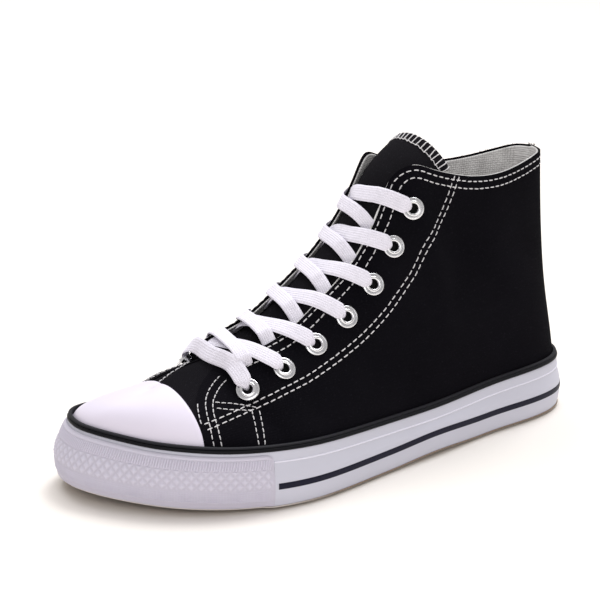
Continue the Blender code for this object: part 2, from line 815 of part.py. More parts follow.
def tongue_point(t, across, lift=0.0):
    """Point over the tongue; t runs up it, across from -1 to 1."""
    rows = np.asarray(TONGUE, float)
    path = rows[:, :2]
    run = np.r_[0.0, np.cumsum(np.linalg.norm(np.diff(path, axis=0), axis=1))]
    at = np.atleast_1d(t) * run[-1]
    along, rise, half, wrap = spline(run, rows, at).T
    ahead = spline(run, path, np.minimum(at + 0.5, run[-1]))
    back = spline(run, path, np.maximum(at - 0.5, 0.0))
    way = unit(ahead - back)
    wrap = np.radians(wrap)
    radius = half / np.sin(wrap)
    turn = wrap * across
    reach = radius + lift / MM
    down = radius - reach * np.cos(turn)
    return np.column_stack([
        (along - way[:, 1] * down) * ALONG,
        (throat_centre(along) + reach * np.sin(turn)) * SIDE,
        (rise + way[:, 0] * down) * RISE,
    ])


def under_face(point):
    """Point moved inward where it would touch the upper's inner face."""
    for _ in range(3):
        near, out = on_face(point)
        off = point - near
        rise = off @ out
        aside = np.linalg.norm(off - out * rise)
        room = WALL + TONGUE_ROOM - aside * 0.6
        point = point - out * max(0.0, rise + room)
    return point


def tongue_face(rows, columns):
    """Grid of points over the tongue's outer face and the way out from each."""
    across = np.linspace(-1.0, 1.0, columns + 1)
    face = np.array([[under_face(p) for p in tongue_point(np.full(columns + 1, i / rows), across)]
                     for i in range(rows + 1)])
    out = unit(np.cross(np.gradient(face, axis=1), np.gradient(face, axis=0)))
    if out[rows // 2, columns // 2, 2] < 0:
        out = -out
    return face, out


TONGUE_OUTER, TONGUE_OUT = tongue_face(13, 8)
TONGUE_TREE = BVHTree.FromPolygons(
    [tuple(map(float, p)) for p in TONGUE_OUTER.reshape(-1, 3)],
    tube_faces(TONGUE_OUTER.shape[0], TONGUE_OUTER.shape[1], False, False))


def tongue():
    rows, size = TONGUE_OUTER.shape[:2]
    inner = TONGUE_OUTER - TONGUE_OUT * TONGUE_THICK
    verts = np.concatenate([TONGUE_OUTER, inner[:, ::-1]], axis=1).reshape(-1, 3)
    faces = tube_faces(rows, 2 * size, close_rings=False)
    for start in (0, (rows - 1) * 2 * size):
        for j in range(size - 1):
            faces.append((start + j, start + j + 1,
                          start + 2 * size - 2 - j, start + 2 * size - 1 - j))
    return add_object("tongue", verts, faces, "tongue_canvas")


# ---- eyelets -----------------------------------------------------------
EYELET_SECTION = (          # radius, height above the canvas
    (EYELET_BORE, -0.0020),
    (EYELET_BORE, 0.0007),
    ((EYELET_BORE + EYELET_RADIUS) / 2.0, 0.0014),
    (EYELET_RADIUS, 0.0006),
    (EYELET_BARREL, 0.0004),
    (EYELET_BARREL, -0.0020),
)


def eyelet(name, row, side):
    here, out, up, _ = eyelet_frame(row, side)
    across = np.cross(up, out)
    sides = 10
    verts = []
    for radius, height in EYELET_SECTION:
        for k in range(sides):
            turn = 2.0 * math.pi * k / sides
            verts.append(here + out * height
                         + radius * (up * math.cos(turn) + across * math.sin(turn)))
    faces = tube_faces(len(EYELET_SECTION), sides)
    return add_object(name, verts, faces, "eyelet_metal")


# ---- lace --------------------------------------------------------------
LACE_LEAVES = {1: 0.18, -1: 0.62}        # where a lace comes out under an edge, by side
LACE_MEETS = {1: 0.84, -1: 0.74}         # and where it crosses the edge opposite
LACE_FAN = 0.0195                        # later rows sit higher, earlier ones lower
LACE_RIM = {1: 0.0022, -1: 0.0020}
LACE_HALF_WAY = {1: 0.0030, -1: 0.0030}
LACE_CROWN = {1: 0.0026, -1: 0.0018}
LACE_CROWN_SIDE = 0.12
THROAT_FOOT = 0.331
BAR_CROWN = 0.0030


def ribbon(path, normals, width, thick):
    """Points and faces of a flat band along a path."""
    path = np.asarray(path)
    way = unit(np.gradient(path, axis=0))
    across = unit(np.cross(way, normals))
    up = unit(np.cross(across, way))
    verts = []
    for p, a, n in zip(path, across, up):
        for da, dn in ((-0.5, -0.5), (0.5, -0.5), (0.5, 0.5), (-0.5, 0.5)):
            verts.append(p + a * da * width + n * dn * thick)
    faces = tube_faces(len(path), 4, close_rings=False)
    faces += [(0, 1, 2, 3), tuple(4 * (len(path) - 1) + k for k in range(4))]
    return verts, faces


def clear_of_shoe(path, normals):
    """Path of a band raised along its normals until it clears the cloth below."""
    way = unit(np.gradient(path, axis=0))
    across = unit(np.cross(way, normals))
    raised = []
    for p, a, n in zip(path, across, normals):
        lack = 0.0
        for off in (-0.5, 0.0, 0.5):
            spot = p + a * off * LACE_WIDTH
            for tree in (FACE, TONGUE_TREE):
                near, _, _, away = tree.find_nearest(tuple(map(float, spot)))
                high = (spot - np.array(near)) @ n
                if away < 0.004:
                    lack = max(lack, LACE_ROOM - high)
        raised.append(p + n * lack)
    return np.array(raised)


def between(k, side, level):
    """Share of the throat edge a part of the way from eyelet k to the next."""
    low, high = (eyelet_frame(EYELETS[i], side)[3] for i in (k, k + 1))
    return low + (high - low) * level


def strand(k, start_side, lift):
    """Band from under one throat edge across to the next eyelet, opposite."""
    far = -start_side
    end, n_end, _, _ = eyelet_frame(EYELETS[k + 1], far)
    fan = LACE_FAN * (k - 2.5) ** 3 * (start_side < 0)
    leave = between(k, start_side, LACE_LEAVES[start_side] + fan)
    meet = between(k, far, LACE_MEETS[far] + fan)
    rim, n_rim = rim_frame(meet, far, 0.0020)
    edge_low = off_edge(leave, start_side, 0.0)
    edge_high = off_edge(meet - 0.002, far, 0.0)
    up = unit(n_rim * (1, 0, 1))
    begin = edge_low + unit(edge_high - edge_low) * 0.0048 + up * 0.0002
    crown = 0.5 + LACE_CROWN_SIDE * start_side
    middle = edge_low * (1.0 - crown) + edge_high * crown + up * (LACE_CROWN[start_side] + lift)
    knots = [begin, middle, rim + n_rim * LACE_RIM[far],
             (rim + end) / 2 + unit(n_rim + n_end) * LACE_HALF_WAY[far], end + n_end * 0.0024]
    norms = [up, up, n_rim, n_end, n_end]
    run = np.r_[0.0, np.cumsum(np.linalg.norm(np.diff(knots, axis=0), axis=1))]
    at = np.linspace(0.0, run[-1], 9)
    path = spline(run, knots, at)
    norms = unit(spline(run, norms, at))
    path[:-2] = clear_of_shoe(path, norms)[:-2]
    return path, norms


def lace_bar(row):
    """Straight bar over the foot of the throat, between the lowest eyelets."""
    near, n_near, _, _ = eyelet_frame(row, 1)
    far, n_far, _, _ = eyelet_frame(row, -1)
    foot = top_point(THROAT_FOOT, 1)[0] * (1.0, 0.0, 1.0)
    foot = foot + (0.0, throat_centre(202.0) * SIDE, 0.0)
    rim, n_rim = on_face(near * 0.60 + foot * 0.40 + (-0.0012, 0.0, 0.0040))
    back, n_back = on_face(far * 0.60 + foot * 0.40 + (-0.0012, 0.0, 0.0040))
    crown = unit(n_rim + n_back)
    knots = [near + n_near * 0.0026, rim + n_rim * 0.0026, foot + crown * BAR_CROWN,
             back + n_back * 0.0026, far + n_far * 0.0028]
    norms = [n_near, n_rim, crown, n_back, n_far]
    run = np.r_[0.0, np.cumsum(np.linalg.norm(np.diff(knots, axis=0), axis=1))]
    at = np.linspace(0.0, run[-1], 11)
    path = spline(run, knots, at)
    norms = unit(spline(run, norms, at))
    path[1:-1] = clear_of_shoe(path, norms)[1:-1]
    verts, faces = ribbon(path, norms, LACE_WIDTH, LACE_THICK)
    return add_object("lace_bar", verts, faces, "lace_cotton")


def lace_cross(name, k):
    """Two bands joined where they cross, the one from the lateral side on top."""
    over, n_over = strand(k, 1, 0.0009)
    under, n_under = strand(k, -1, 0.0)
    ob = add_object(name, *ribbon(over, n_over, LACE_WIDTH, LACE_THICK), "lace_cotton")
    other = add_object("under", *ribbon(under, n_under, LACE_WIDTH, LACE_THICK), "lace_cotton")
    cut(ob, [other], "UNION")
    return ob


# ---- build -------------------------------------------------------------
def main():
    for ob in list(bpy.data.objects):
        bpy.data.objects.remove(ob, do_unlink=True)
    outsole()
    foxing()
    toe_bumper()
    piping()
    upper()
    toe_cap()
    insole()
    tongue()
    for side, word in ((1, "lateral"), (-1, "medial")):
        for k, row in enumerate(EYELETS):
            eyelet(f"eyelet_{word}_{k + 1}", row, side)
    lace_bar(EYELETS[0])
    for k in range(len(EYELETS) - 1):
        lace_cross(f"lace_cross_{k + 1}", k)
    # origin under the middle of the shoe
    xs = PLAN[:, 0]
    ys = PLAN[:, 1]
    shift = ((xs.min() + xs.max()) / 2.0, (ys.min() + ys.max()) / 2.0)
    for ob in bpy.data.objects:
        for v in ob.data.vertices:
            v.co.x -= shift[0]
            v.co.y -= shift[1]


main()
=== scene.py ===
"""Looks of a canvas high-top sneaker for the left foot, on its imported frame.

Shoe sizes are worked from the back of the heel, x to the toe and y to the outer
side, and moved onto the frame by OFFSET as each piece is made.
"""
import itertools
import math

import bmesh
import bpy
import numpy as np
from mathutils import Matrix, Vector
from mathutils.bvhtree import BVHTree


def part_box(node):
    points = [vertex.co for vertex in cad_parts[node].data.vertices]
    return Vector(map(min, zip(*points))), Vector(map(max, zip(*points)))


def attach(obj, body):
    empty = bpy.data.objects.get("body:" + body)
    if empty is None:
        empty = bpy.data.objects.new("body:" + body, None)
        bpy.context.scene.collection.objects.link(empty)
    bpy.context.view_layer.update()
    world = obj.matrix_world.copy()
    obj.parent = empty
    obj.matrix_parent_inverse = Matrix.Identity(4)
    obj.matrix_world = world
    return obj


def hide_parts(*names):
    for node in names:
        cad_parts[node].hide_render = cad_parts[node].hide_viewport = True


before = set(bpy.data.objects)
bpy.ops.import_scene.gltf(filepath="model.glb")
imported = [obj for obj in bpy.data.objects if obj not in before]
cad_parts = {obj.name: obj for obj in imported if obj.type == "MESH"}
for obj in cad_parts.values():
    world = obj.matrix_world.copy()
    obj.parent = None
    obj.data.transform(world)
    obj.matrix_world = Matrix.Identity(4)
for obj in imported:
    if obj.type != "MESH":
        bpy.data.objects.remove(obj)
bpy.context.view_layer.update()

# ---- sizes of the shoe ----
MM = 0.001
TOE_SPRING = 0.0045
SPRING_START = 0.178      # along, where the sole starts to rise, and over what length
SPRING_RUN = 0.0885
ARCH_RISE = 0.0010
ARCH_START = 0.072
ARCH_RUN = 0.066
HEEL_BEVEL = 0.0015
HEEL_RUN = 0.010
SOLE_LINE = 0.0017           # underside left showing below the foxing
OUTSOLE_TOP = 0.0088
FOXING_WALL = 0.0015
FOXING_LEAN = 0.0023
TOE_LEAN = 0.0022
TOE_LEAN_FROM = (0.215, 0.258)
TIP_LEAN = 0.0022
TIP_LEAN_FROM = (0.248, 0.2665)
SHOULDER_LEAN = 0.55      # share of the lean taken below the shoulder
GAP = 0.0003
SEAM = 0.0001
SOLE_INSET = 0.0005
TREAD_RIM = 0.0045
LOZENGE = 0.0052
LOZENGE_DEPTH = 0.0006
GROOVE_SINK = 0.0001      # of the two fine grooves round the foxing
TOP_GROOVE = 0.0054
LOW_GROOVE = 0.0136
HEEL_RIB = 0.0011
HEEL_RIB_RISE = 0.00018
GROOVE_WIDTH = 0.0028
GROOVE_DEPTH = 0.0016
GROOVE_ZIGZAG = 0.0022
BUMPER_WALL = 0.0013
BUMPER_REAR = 0.2045
BUMPER_COLUMNS = 1080
BUMPER_SEAT = 0.0001
BUMPER_TOP = 0.80         # share of the way from shoulder to top edge
BUMPER_CORNER = 0.0040
# relief of the bumper from the top down: pitch, rise, and where it starts and ends
BUMPER_LIP = 0.00045
BUMPER_RIB = 0.0012
RIB_RISE = 0.0005
RIB_BAND = (0.0013, 0.0017, 0.0057, 0.0052)
BUMPER_GEM = (0.0042, 0.0046)
GEM_RISE = 0.00085
GEM_BAND = (0.0057, 0.0062, 0.0146, 0.0138)
BUMPER_HATCH = 0.0013
HATCH_RISE = 0.00022
HATCH_BAND = (0.0146, 0.0152, 0.0206, 0.0198)
RELIEF_SCALE = 1000.0     # lie of the cloth to a metre of relief, for the bumper's painted shade
WALL = 0.0018
CLOTH = 0.0009            # one layer of canvas
VAMP_DROP = 0.00045       # vamp under the quarters
VAMP_THICK = 0.0007
LINING_TOP = 0.0012       # lining's upper face below the canvas's
LINING_DROP = 0.0009      # of its edge along the collar
QUARTER_TOP_SHARE = 0.327
UPPER_FOOT = 0.0091
UPPER_TUCK = 0.0010       # of the upper's face below the foxing's top
COLLAR = (0.60, 0.66)     # shares of the way round where the padded collar sets in
TOE_CAP_WALL = 0.0013
TOE_CAP_FROM = (0.205, 0.222)        # where the upper draws in to make room for the cap
TOE_CAP_REAR = 0.2270
TOE_CAP_FOOT = 0.0150
CAP_CUT = (0.995, 0.0, 0.100)        # way the cap's rear edge faces
CAP_ROUND = 0.0016
INSOLE_THICK = 0.0040
TONGUE_THICK = 0.0024
TONGUE_ROOM = 0.0010
OVERLOCK_LOOPS = 21
OVERLOCK_SPAN = 1.97      # of the tongue's two half widths
OVERLOCK_DEEP = 0.0048
OVERLOCK_THREAD = 0.00026
STITCH = (0.00355, 0.0027, 0.00029)  # pitch, length and half width
FINE_STITCH = (0.0026, 0.0023, 0.00025)
RIM_END = 0.992           # share of the way round where the rim's rows end
HEEL_ROW = 0.9915         # and that of the row up the heel
EYELET_RADIUS = 0.0052
EYELET_HOLE = 0.0026
THROAT = (0.334, 0.640)   # shares of the way round that the eyelets lie between
FIRST_LIFT = 1.4          # first medial eyelet over the lateral one, mm
LACE_WIDTH = 0.0077
LACE_THICK = 0.0011
LACE_ROOM = 0.0008        # middle of the lace over the cloth
LACE_STEPS = 74
CROSS_LIFT = 0.0013
LACE_LEAVES = {1: 0.15, -1: 0.62}    # where a lace comes out under an edge, by side
LACE_MEETS = {1: 0.84, -1: 0.74}     # and where it crosses the edge opposite
LACE_FAN = 0.0195                    # later rows sit higher, earlier ones lower
LACE_RIM = {1: 0.0022, -1: 0.0013}
LACE_HALF_WAY = {1: 0.0026, -1: 0.0016}
LACE_CROWN = {1: 0.0022, -1: 0.0014}
LACE_CROWN_SIDE = 0.12
LACE_CUP = -0.0011        # rise of the edges where the lace narrows
LACE_EAR = 0.0032         # narrowing of a lace over the ring, then down the bore
LACE_NECK = 0.0012
THROAT_FOOT = 0.331
BAR_CROWN = 0.0026

HALF = 200                # stations from the toe tip to the heel seam
RIB_ROWS = 56             # rows of the upper's face above the foxing
SKIRT = 2                 # rows inside the foxing
ROWS = RIB_ROWS + 1 + SKIRT
ROUND = 2 * HALF
LINE_STEP = 0.0012        # between the points of a line on the face
EDGE_DEPTHS = (0.14, 0.5, 0.86)      # shares of the thickness in a sheet's round edge
QUARTER_COLUMNS = 210
TREAD_COLUMNS = 88
TONGUE_ROWS = 84
TONGUE_COLUMNS = 44

# along, rise of the foxing's top edge, in metres
FOXING_RISE = (
    (0.0, 0.0252), (0.040, 0.0249), (0.110, 0.0231), (0.190, 0.0259), (0.265, 0.0265),
)
# along, lateral half width, medial half width
SOLE_PLAN = (
    (0, 0, 0), (3, 15.3, 14.2), (12, 26.6, 25.4), (30, 33.6, 31.6),
    (60, 35.6, 33.4), (100, 40.3, 34.2), (130, 43.4, 38.2), (160, 47.4, 44.2),
    (182, 49, 49.2), (205, 45.8, 51.8), (228, 36.6, 51), (247, 21.7, 48.8),
    (260, 3.6, 41.2), (267.5, -18.6, 18.6),
)
# share of the way round from toe to heel, along, centre line, half gap, rise
TOP_LINE = (
    (0.000, 232, -6, 0, 45.5), (0.063, 230.5, -5.8, 0, 46.1),
    (0.135, 226.5, -5.2, 0, 48), (0.213, 219, -4.2, 0, 50.6),
    (0.280, 210, -3.4, 0, 53.8), (0.3125, 204.5, -3, 0, 56),
    (0.332, 202, -2.8, 10, 57.4), (0.352, 197.5, -2.3, 13.6, 59.3),
    (0.385, 188, -1.6, 14.8, 62.2), (0.435, 172, -0.8, 15, 67.8),
    (0.485, 154, 0, 14.8, 79.5), (0.530, 137.5, 0, 14.5, 91.5),
    (0.570, 125, 0, 13.4, 105.4), (0.602, 117.8, 0, 12.3, 117),
    (0.629, 112.6, 0, 12, 127), (0.656, 105, 0, 15.6, 132.4),
    (0.695, 94, 0, 19, 130), (0.740, 81, 0, 20.2, 125.8),
    (0.800, 65, 0, 20, 122.6), (0.850, 50, 0, 18.8, 121.8),
    (0.900, 34.5, 0, 15.8, 122.9), (0.945, 20.4, 0, 12.2, 125),
    (0.975, 13.2, 0, 7.8, 126.3), (1.000, 10.8, 0, 0, 126.8),
)
RIDGE_SHARE = TOP_LINE[5][0]         # where the sides part over the instep
RIDGE_END = int(math.floor(RIDGE_SHARE * HALF + 1e-6))
SHARES = np.arange(HALF + 1) / HALF
# share, stand, lateral splay, medial splay, reach, turn, fall, fullness of the medial side
RIB_FORM = (
    (0.000, 8, 0, 0, 13.5, 0, 8, 1.00), (0.063, 9, 0, -8, 15, 22, 7, 0.88),
    (0.135, 10.5, -2, -20, 16.5, 45, 6, 0.66),
    (0.190, 11, -5, -25, 16.3, 61, 5.2, 0.62), (0.235, 11, -8, -8, 15.6, 72, 4.6, 0.94),
    (0.280, 11, -10, -6, 15, 82, 4, 1),
    (0.332, 11, -14, -9, 13, 95, 14, 1),
    (0.435, 14, -14, -12, 14, 112, 26, 1),
    (0.530, 24, -8, -12, 18, 122, 30, 1),
    (0.625, 34, -2, -6, 26, 128, 50, 1),
    (0.690, 36, 0, -3, 34, 110, 84, 1),
    (0.800, 36, 0, 0, 34, 100, 88, 1),
    (0.900, 30, -4, -4, 34, 130, 88, 1),
    (1.000, 26, -4, -4, 30, 180, 88, 1),
)
# along, rise, half width, wrap of its arc in degrees
TONGUE = (
    (206, 49.4, 12, 20), (198, 54.4, 14.5, 26), (186, 60.6, 19, 37),
    (172, 66.9, 21.5, 45), (154, 79.2, 22, 52), (138, 92.3, 21.5, 55),
    (126.5, 105.8, 20, 60), (119, 117.3, 18.5, 66), (112.5, 127, 17.2, 70),
    (103.5, 135.4, 17, 78), (91, 142.8, 18.2, 84),
)
# along, rise
EYELETS = (
    (200.6, 47.1), (183, 54.5), (164.6, 61.7), (147.5, 71.2),
    (131.3, 83.1), (117.7, 97.9), (105.7, 113.5),
)
# along, half width of a groove
TREAD = (
    (22, 17), (34, 21), (46, 23), (58, 23.5), (150, 30), (162, 33),
    (174, 35.5), (186, 37), (198, 37), (210, 35), (222, 31), (234, 24),
)
# front edge of a quarter over the vamp: along, rise
QUARTER_FRONT = (
    (204.2, 54.6), (209.6, 52.4), (217, 49.2), (222.6, 45.6), (226.8, 40.4),
    (228.2, 35), (229, 29), (229.4, 24),
)
# the double seam under the eyelets, on both sides: along, rise
EYESTAY_SEAM = (
    (78, 125.2), (81.6, 116.5), (89.6, 105.4), (98.7, 97.8), (105.6, 88.8),
    (113.8, 80.3), (124.1, 71.8), (140, 61.9), (151.9, 56.2), (165.1, 51.1),
    (178.1, 47.4), (191.5, 44.8), (196.2, 43.35), (200.6, 41.6),
    (205.6, 40.7), (212.9, 39.3), (226.2, 36),
)
EYESTAY_APART = -0.0028
# seams of one row on both sides, from the quarter's front back to its waist
SEAMS = (
    ((206.2, 51.7), (210.6, 50.2), (214.5, 48.4), (219.7, 45), (221.8, 42.5),
     (223.1, 39.8), (224.7, 34.9), (225.4, 29.8)),
    ((204.8, 50.5), (209.1, 49.2), (213, 47.3), (217.6, 44.4), (220.1, 40.6),
     (221.7, 35.4), (222.5, 29.7)),
    ((222.9, 44.7), (225.6, 41.6), (226.8, 38)),
    ((216.5, 44.6), (208.4, 43.5), (200.8, 41.5)),
    ((217.6, 42.9), (212.2, 42), (205, 41.1), (203.3, 40.8)),
    ((203.7, 41.2), (205.6, 37.6), (207.3, 33.2), (208.3, 29)),
    ((200.6, 40.7), (201.9, 38), (203.9, 34.2), (205.7, 28.7)),
)
# row over the instep at the throat's foot, medial side: along, across (mm)
VAMP_TOP_ROW = ((206, -13.6), (213, -11.5), (219, -11.4), (226, -9.6))
# soft creases of the cloth: side, along, rise, turn in degrees, length, width, depth (mm)
CREASES = (
    (1, 98, 74, 24, 26, 7, -0.9), (1, 92, 62, 18, 24, 6, 0.7),
    (1, 70, 50, 8, 22, 6, -0.6), (1, 40, 84, 12, 18, 7, -0.6),
    (1, 176, 38, 62, 12, 5, -0.5), (1, 150, 42, 36, 20, 6, 0.5),
    (-1, 100, 70, 26, 26, 7, -0.9), (-1, 90, 58, 16, 24, 6, 0.7),
    (-1, 66, 48, 6, 22, 6, -0.6), (-1, 42, 88, 10, 18, 7, -0.5),
    (-1, 172, 38, 58, 14, 5, -0.5), (-1, 146, 44, 34, 20, 6, 0.5),
)
# foxing's bands and the piping's cords: rise or outward step, proud of the face or rise (mm)
STRIPE_FORM = ((9.5, -0.3), (9.5, 0.08), (9.9, 0.16), (10.9, 0.2), (11.9, 0.16), (12.3, 0.08),
               (12.3, -0.3))
LINE_FORM = ((-5, -0.3), (-5, 0.05), (-4.8, 0.24), (-4.5, 0.3), (-4.3, 0.12), (-4.3, -0.3))
PIPING_BEAD = ((-0.3, 0.02), (0.1, 0.02), (0.42, 0.2), (0.55, 0.62), (0.52, 1.02), (0.3, 1.42),
               (-0.1, 1.62), (-0.7, 1.66), (-1.5, 1.66), (-1.5, 0.02))
PIPING_EDGE = ((-0.55, 1.68), (-0.2, 1.76), (-0.02, 2.05), (-0.06, 2.36), (-0.35, 2.62),
               (-0.9, 2.72), (-1.55, 2.7), (-1.55, 1.68))
# underside's rounded edge: inset, rise (mm)
SOLE_EDGE = ((5.2, 0), (4.2, 0.9), (0.3, 1.2), (0, 1.3))
# eyelets: radius, height over the canvas (mm)
EYELET_PROFILE = (
    (2.2, -2.35), (2.18, 0.1), (2.2, 0.5), (2.36, 0.92), (2.75, 1.24), (3.18, 1.26),
    (3.52, 1.02), (3.74, 0.62), (3.92, 0.26), (4.1, 0.24), (4.28, 0.52), (4.56, 0.84),
    (4.88, 0.8), (5.14, 0.5), (5.22, 0.18), (5.1, 0.02), (4.6, -0.05), (2.55, -0.1),
    (2.45, -2.1), (4.35, -2.22), (4.55, -2.42), (4.2, -2.62), (3, -2.66), (2.3, -2.58),
)
# barrels down the eyelets' holes, closed at the foot; their near-black tone and the closing disc
# are painted shade in the bores
BARREL_PROFILE = ((0.05, -2.6), (2.17, -2.6), (2.17, 0.42), (1.95, 0.3), (1.95, -1.9),
                  (0.05, -1.9))
# a lace's end over the ring and down the bore: back from the middle, rise (mm)
LACE_BEND = ((4, 2.05), (2.2, 1.5), (1.2, 0.1), (1, -2.2), (1.6, -4))

# ---- camera, floor and light ----
VIEW_TURN = 141.13
VIEW_RISE = 17.06
VIEW_ROLL = 0.48
VIEW_DISTANCE = 0.91975
VIEW_LENS = 120.2
VIEW_CENTRE = (0.1325, 0.0, 0.0600)
VIEW_RIGHT = -0.01734
VIEW_UP = 0.00997


# ---- helpers ----
def spline(knots, rows, at, closed=False):
    """Cubic curve through rows of numbers, natural or closed on itself."""
    k = np.asarray(knots, float)
    v = np.asarray(rows, float)
    h = np.diff(k)
    size = len(k) - closed
    left = np.zeros((size, size))
    right = np.zeros((size, v.shape[1]))
    left[0, 0] = left[-1, -1] = 1.0 - closed
    for i in range(size) if closed else range(1, size - 1):
        p = (i - 1) % size
        left[i, p] += h[p]
        left[i, i] += 2.0 * (h[p] + h[i])
        left[i, (i + 1) % size] += h[i]
        right[i] = 6.0 * ((v[i + 1] - v[i]) / h[i] - (v[i] - v[p]) / h[p])
    curve = np.linalg.solve(left, right)
    if closed:
        curve = np.vstack([curve, curve[:1]])
    at = np.atleast_1d(at)
    j = np.clip(np.searchsorted(k, at, side="right") - 1, 0, len(k) - 2)
    step = h[j][:, None]
    a = (k[j + 1] - at)[:, None] / step
    b = (at - k[j])[:, None] / step
    swing = (a ** 3 - a) * curve[j] + (b ** 3 - b) * curve[j + 1]
    return a * v[j] + b * v[j + 1] + swing * step ** 2 / 6.0


def table(rows, at):
    """Spline through a table whose first column is where each row is."""
    rows = np.asarray(rows, float)
    return spline(rows[:, 0], rows[:, 1:], at)


def unit(v):
    """Vectors of length one."""
    return v / np.maximum(np.linalg.norm(v, axis=-1, keepdims=True), 1e-12)


def smoothstep(x, low, high):
    """Soft rise from 0 at low to 1 at high, which may be the lesser."""
    t = np.clip((x - low) / (high - low), 0.0, 1.0)
    return t * t * (3.0 - 2.0 * t)


def bump_at(value, centre, width):
    """Soft bell of height one."""
    return np.exp(-((value - centre) / width) ** 2)


def smooth(values, passes, rising=False):
    """Even out a row of values or points between its ends, rising only if told."""
    for _ in range(passes):
        mean = (values[:-2] + 2.0 * values[1:-1] + values[2:]) / 4.0
        values[1:-1] = np.maximum(values[1:-1], mean) if rising else mean
    return values


def mixed(grid, row, column):
    """Values of a grid of points between its own rows and columns."""
    i = np.minimum(np.asarray(row).astype(int), grid.shape[0] - 2)
    j = np.minimum(np.asarray(column).astype(int), grid.shape[1] - 2)
    a, b = (row - i)[..., None], (column - j)[..., None]
    return (grid[i, j] * (1 - a) * (1 - b) + grid[i + 1, j] * a * (1 - b)
            + grid[i + 1, j + 1] * a * b + grid[i, j + 1] * (1 - a) * b)


def lengths(points):
    """Length run along a line of points."""
    return np.r_[0.0, np.cumsum(np.linalg.norm(np.diff(points, axis=0), axis=1))]


def along_line(points, run, at):
    """Points at lengths along a line."""
    return np.stack([np.interp(at, run, column) for column in points.T], axis=-1)


def heading(line):
    """Way on at each point of a line."""
    return unit(np.gradient(line, axis=0))


def even(points):
    """The same line with a point every LINE_STEP or so."""
    run = lengths(points)
    return along_line(points, run, np.linspace(0.0, run[-1], max(3, int(run[-1] / LINE_STEP) + 1)))


def circle(sides):
    """Even turns of a full circle."""
    return np.linspace(0.0, 2.0 * math.pi, sides, endpoint=False)


def strip_faces(rings, size, close_rings=True, close_size=True):
    """Quads between neighbours in rings of points numbered one after another."""
    return [(i * size + j, i * size + (j + 1) % size,
             (i + 1) % rings * size + (j + 1) % size, (i + 1) % rings * size + j)
            for i in range(rings - (not close_rings)) for j in range(size - (not close_size))]


def capped(rings, size):
    """Faces of an open run of rings with both its ends closed."""
    return strip_faces(rings, size, False) + [
        tuple(range(size)), tuple(range((rings - 1) * size, rings * size))]


def grid_quads(index):
    """Quads between the neighbours in a table of point numbers."""
    rows = index.tolist()
    return [(near[j], far[j], far[j + 1], near[j + 1])
            for near, far in zip(rows, rows[1:]) for j in range(len(near) - 1)]


# ---- plan of the sole ----
def sole_outline():
    """Length, points and outward normals of each side from the toe tip."""
    loop = np.array([(along, out) for along, out, _ in SOLE_PLAN]
                    + [(along, -inn) for along, _, inn in SOLE_PLAN[-2::-1]]) * MM
    run = lengths(loop)
    fine = spline(run, loop, np.linspace(0.0, run[-1], 3001)[:-1], closed=True)
    ahead = np.roll(fine, -1, axis=0) - np.roll(fine, 1, axis=0)
    out = unit(np.column_stack([-ahead[:, 1], ahead[:, 0]]))
    toe = int(np.argmin(np.hypot(*(fine - loop[len(SOLE_PLAN) - 1]).T)))
    picks = {1: np.arange(toe, -1, -1), -1: np.r_[np.arange(toe, len(fine)), 0]}
    return {side: (lengths(fine[pick]), fine[pick], out[pick]) for side, pick in picks.items()}


OUTLINE = sole_outline()
REACH = {side: OUTLINE[side][0][-1] for side in OUTLINE}


def outline(run):
    """Plan points and normals at lengths from the toe tip, + lateral, - medial."""
    found = np.zeros((2, len(run), 2))
    for side, (length, *lines) in OUTLINE.items():
        pick = (run >= 0) == (side > 0)
        for place, line in zip(found, lines):
            place[pick] = along_line(line, length, abs(run[pick]))
    return found[0], unit(found[1])


PLAN, PLAN_OUT = outline(np.r_[np.arange(HALF + 1) / HALF * REACH[1],
                               -np.arange(HALF - 1, 0, -1) / HALF * REACH[-1]])
PLAN_X = PLAN[:, 0]
foxing_low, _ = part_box("foxing")
OFFSET = np.array([foxing_low.x - PLAN_X.min(), foxing_low.y - PLAN[:, 1].min(), 0.0])


def spring(x):
    """Rise of the sole toward the toe."""
    return TOE_SPRING * np.clip((x - SPRING_START) / SPRING_RUN, 0.0, 1.0) ** 2


def ground(x):
    """Rise of the underside: toe spring, bevelled heel and arch."""
    heel = np.clip((HEEL_RUN - x) / HEEL_RUN, 0.0, 1.0)
    waist = np.clip((x - ARCH_START) / ARCH_RUN, 0.0, 1.0)
    return spring(x) + HEEL_BEVEL * heel ** 2 + ARCH_RISE * np.sin(np.pi * waist) ** 2


def foxing_foot(x):
    """Height of the foxing's lower edge."""
    return ground(x) + SOLE_LINE + SEAM


def foxing_top(x):
    """Height of the foxing's upper edge."""
    return table(FOXING_RISE, x)[:, 0] + spring(x)


def foxing_out(x):
    """Room inside the plan's line that the toe bumper takes."""
    return (BUMPER_WALL + GAP) * smoothstep(x, BUMPER_REAR, BUMPER_REAR + 0.0060)


def lean(x):
    """How far the foxing's top edge stands inside the plan's line."""
    return (FOXING_LEAN + TOE_LEAN * smoothstep(x, *TOE_LEAN_FROM)
            + TIP_LEAN * smoothstep(x, *TIP_LEAN_FROM))


def shoulder(x):
    """Inset of the foxing's face where it turns in to its top edge."""
    return np.maximum(lean(x) * SHOULDER_LEAN, foxing_out(x))


def upper_inset(x):
    """Inset of the upper's foot from the plan's line."""
    return lean(x) + FOXING_WALL + GAP + (TOE_CAP_WALL + GAP) * smoothstep(x, *TOE_CAP_FROM)


def ring_at(flat, out, inset, height):
    """Points of the plan's line moved in by inset at a height."""
    moved = flat - out * np.broadcast_to(inset, len(flat))[:, None]
    return np.column_stack([moved, np.broadcast_to(height, len(flat))])


def plan_rings(pairs):
    """Rings round the whole plan from pairs of inset and height."""
    return [ring_at(PLAN, PLAN_OUT, inset, height) for inset, height in pairs]


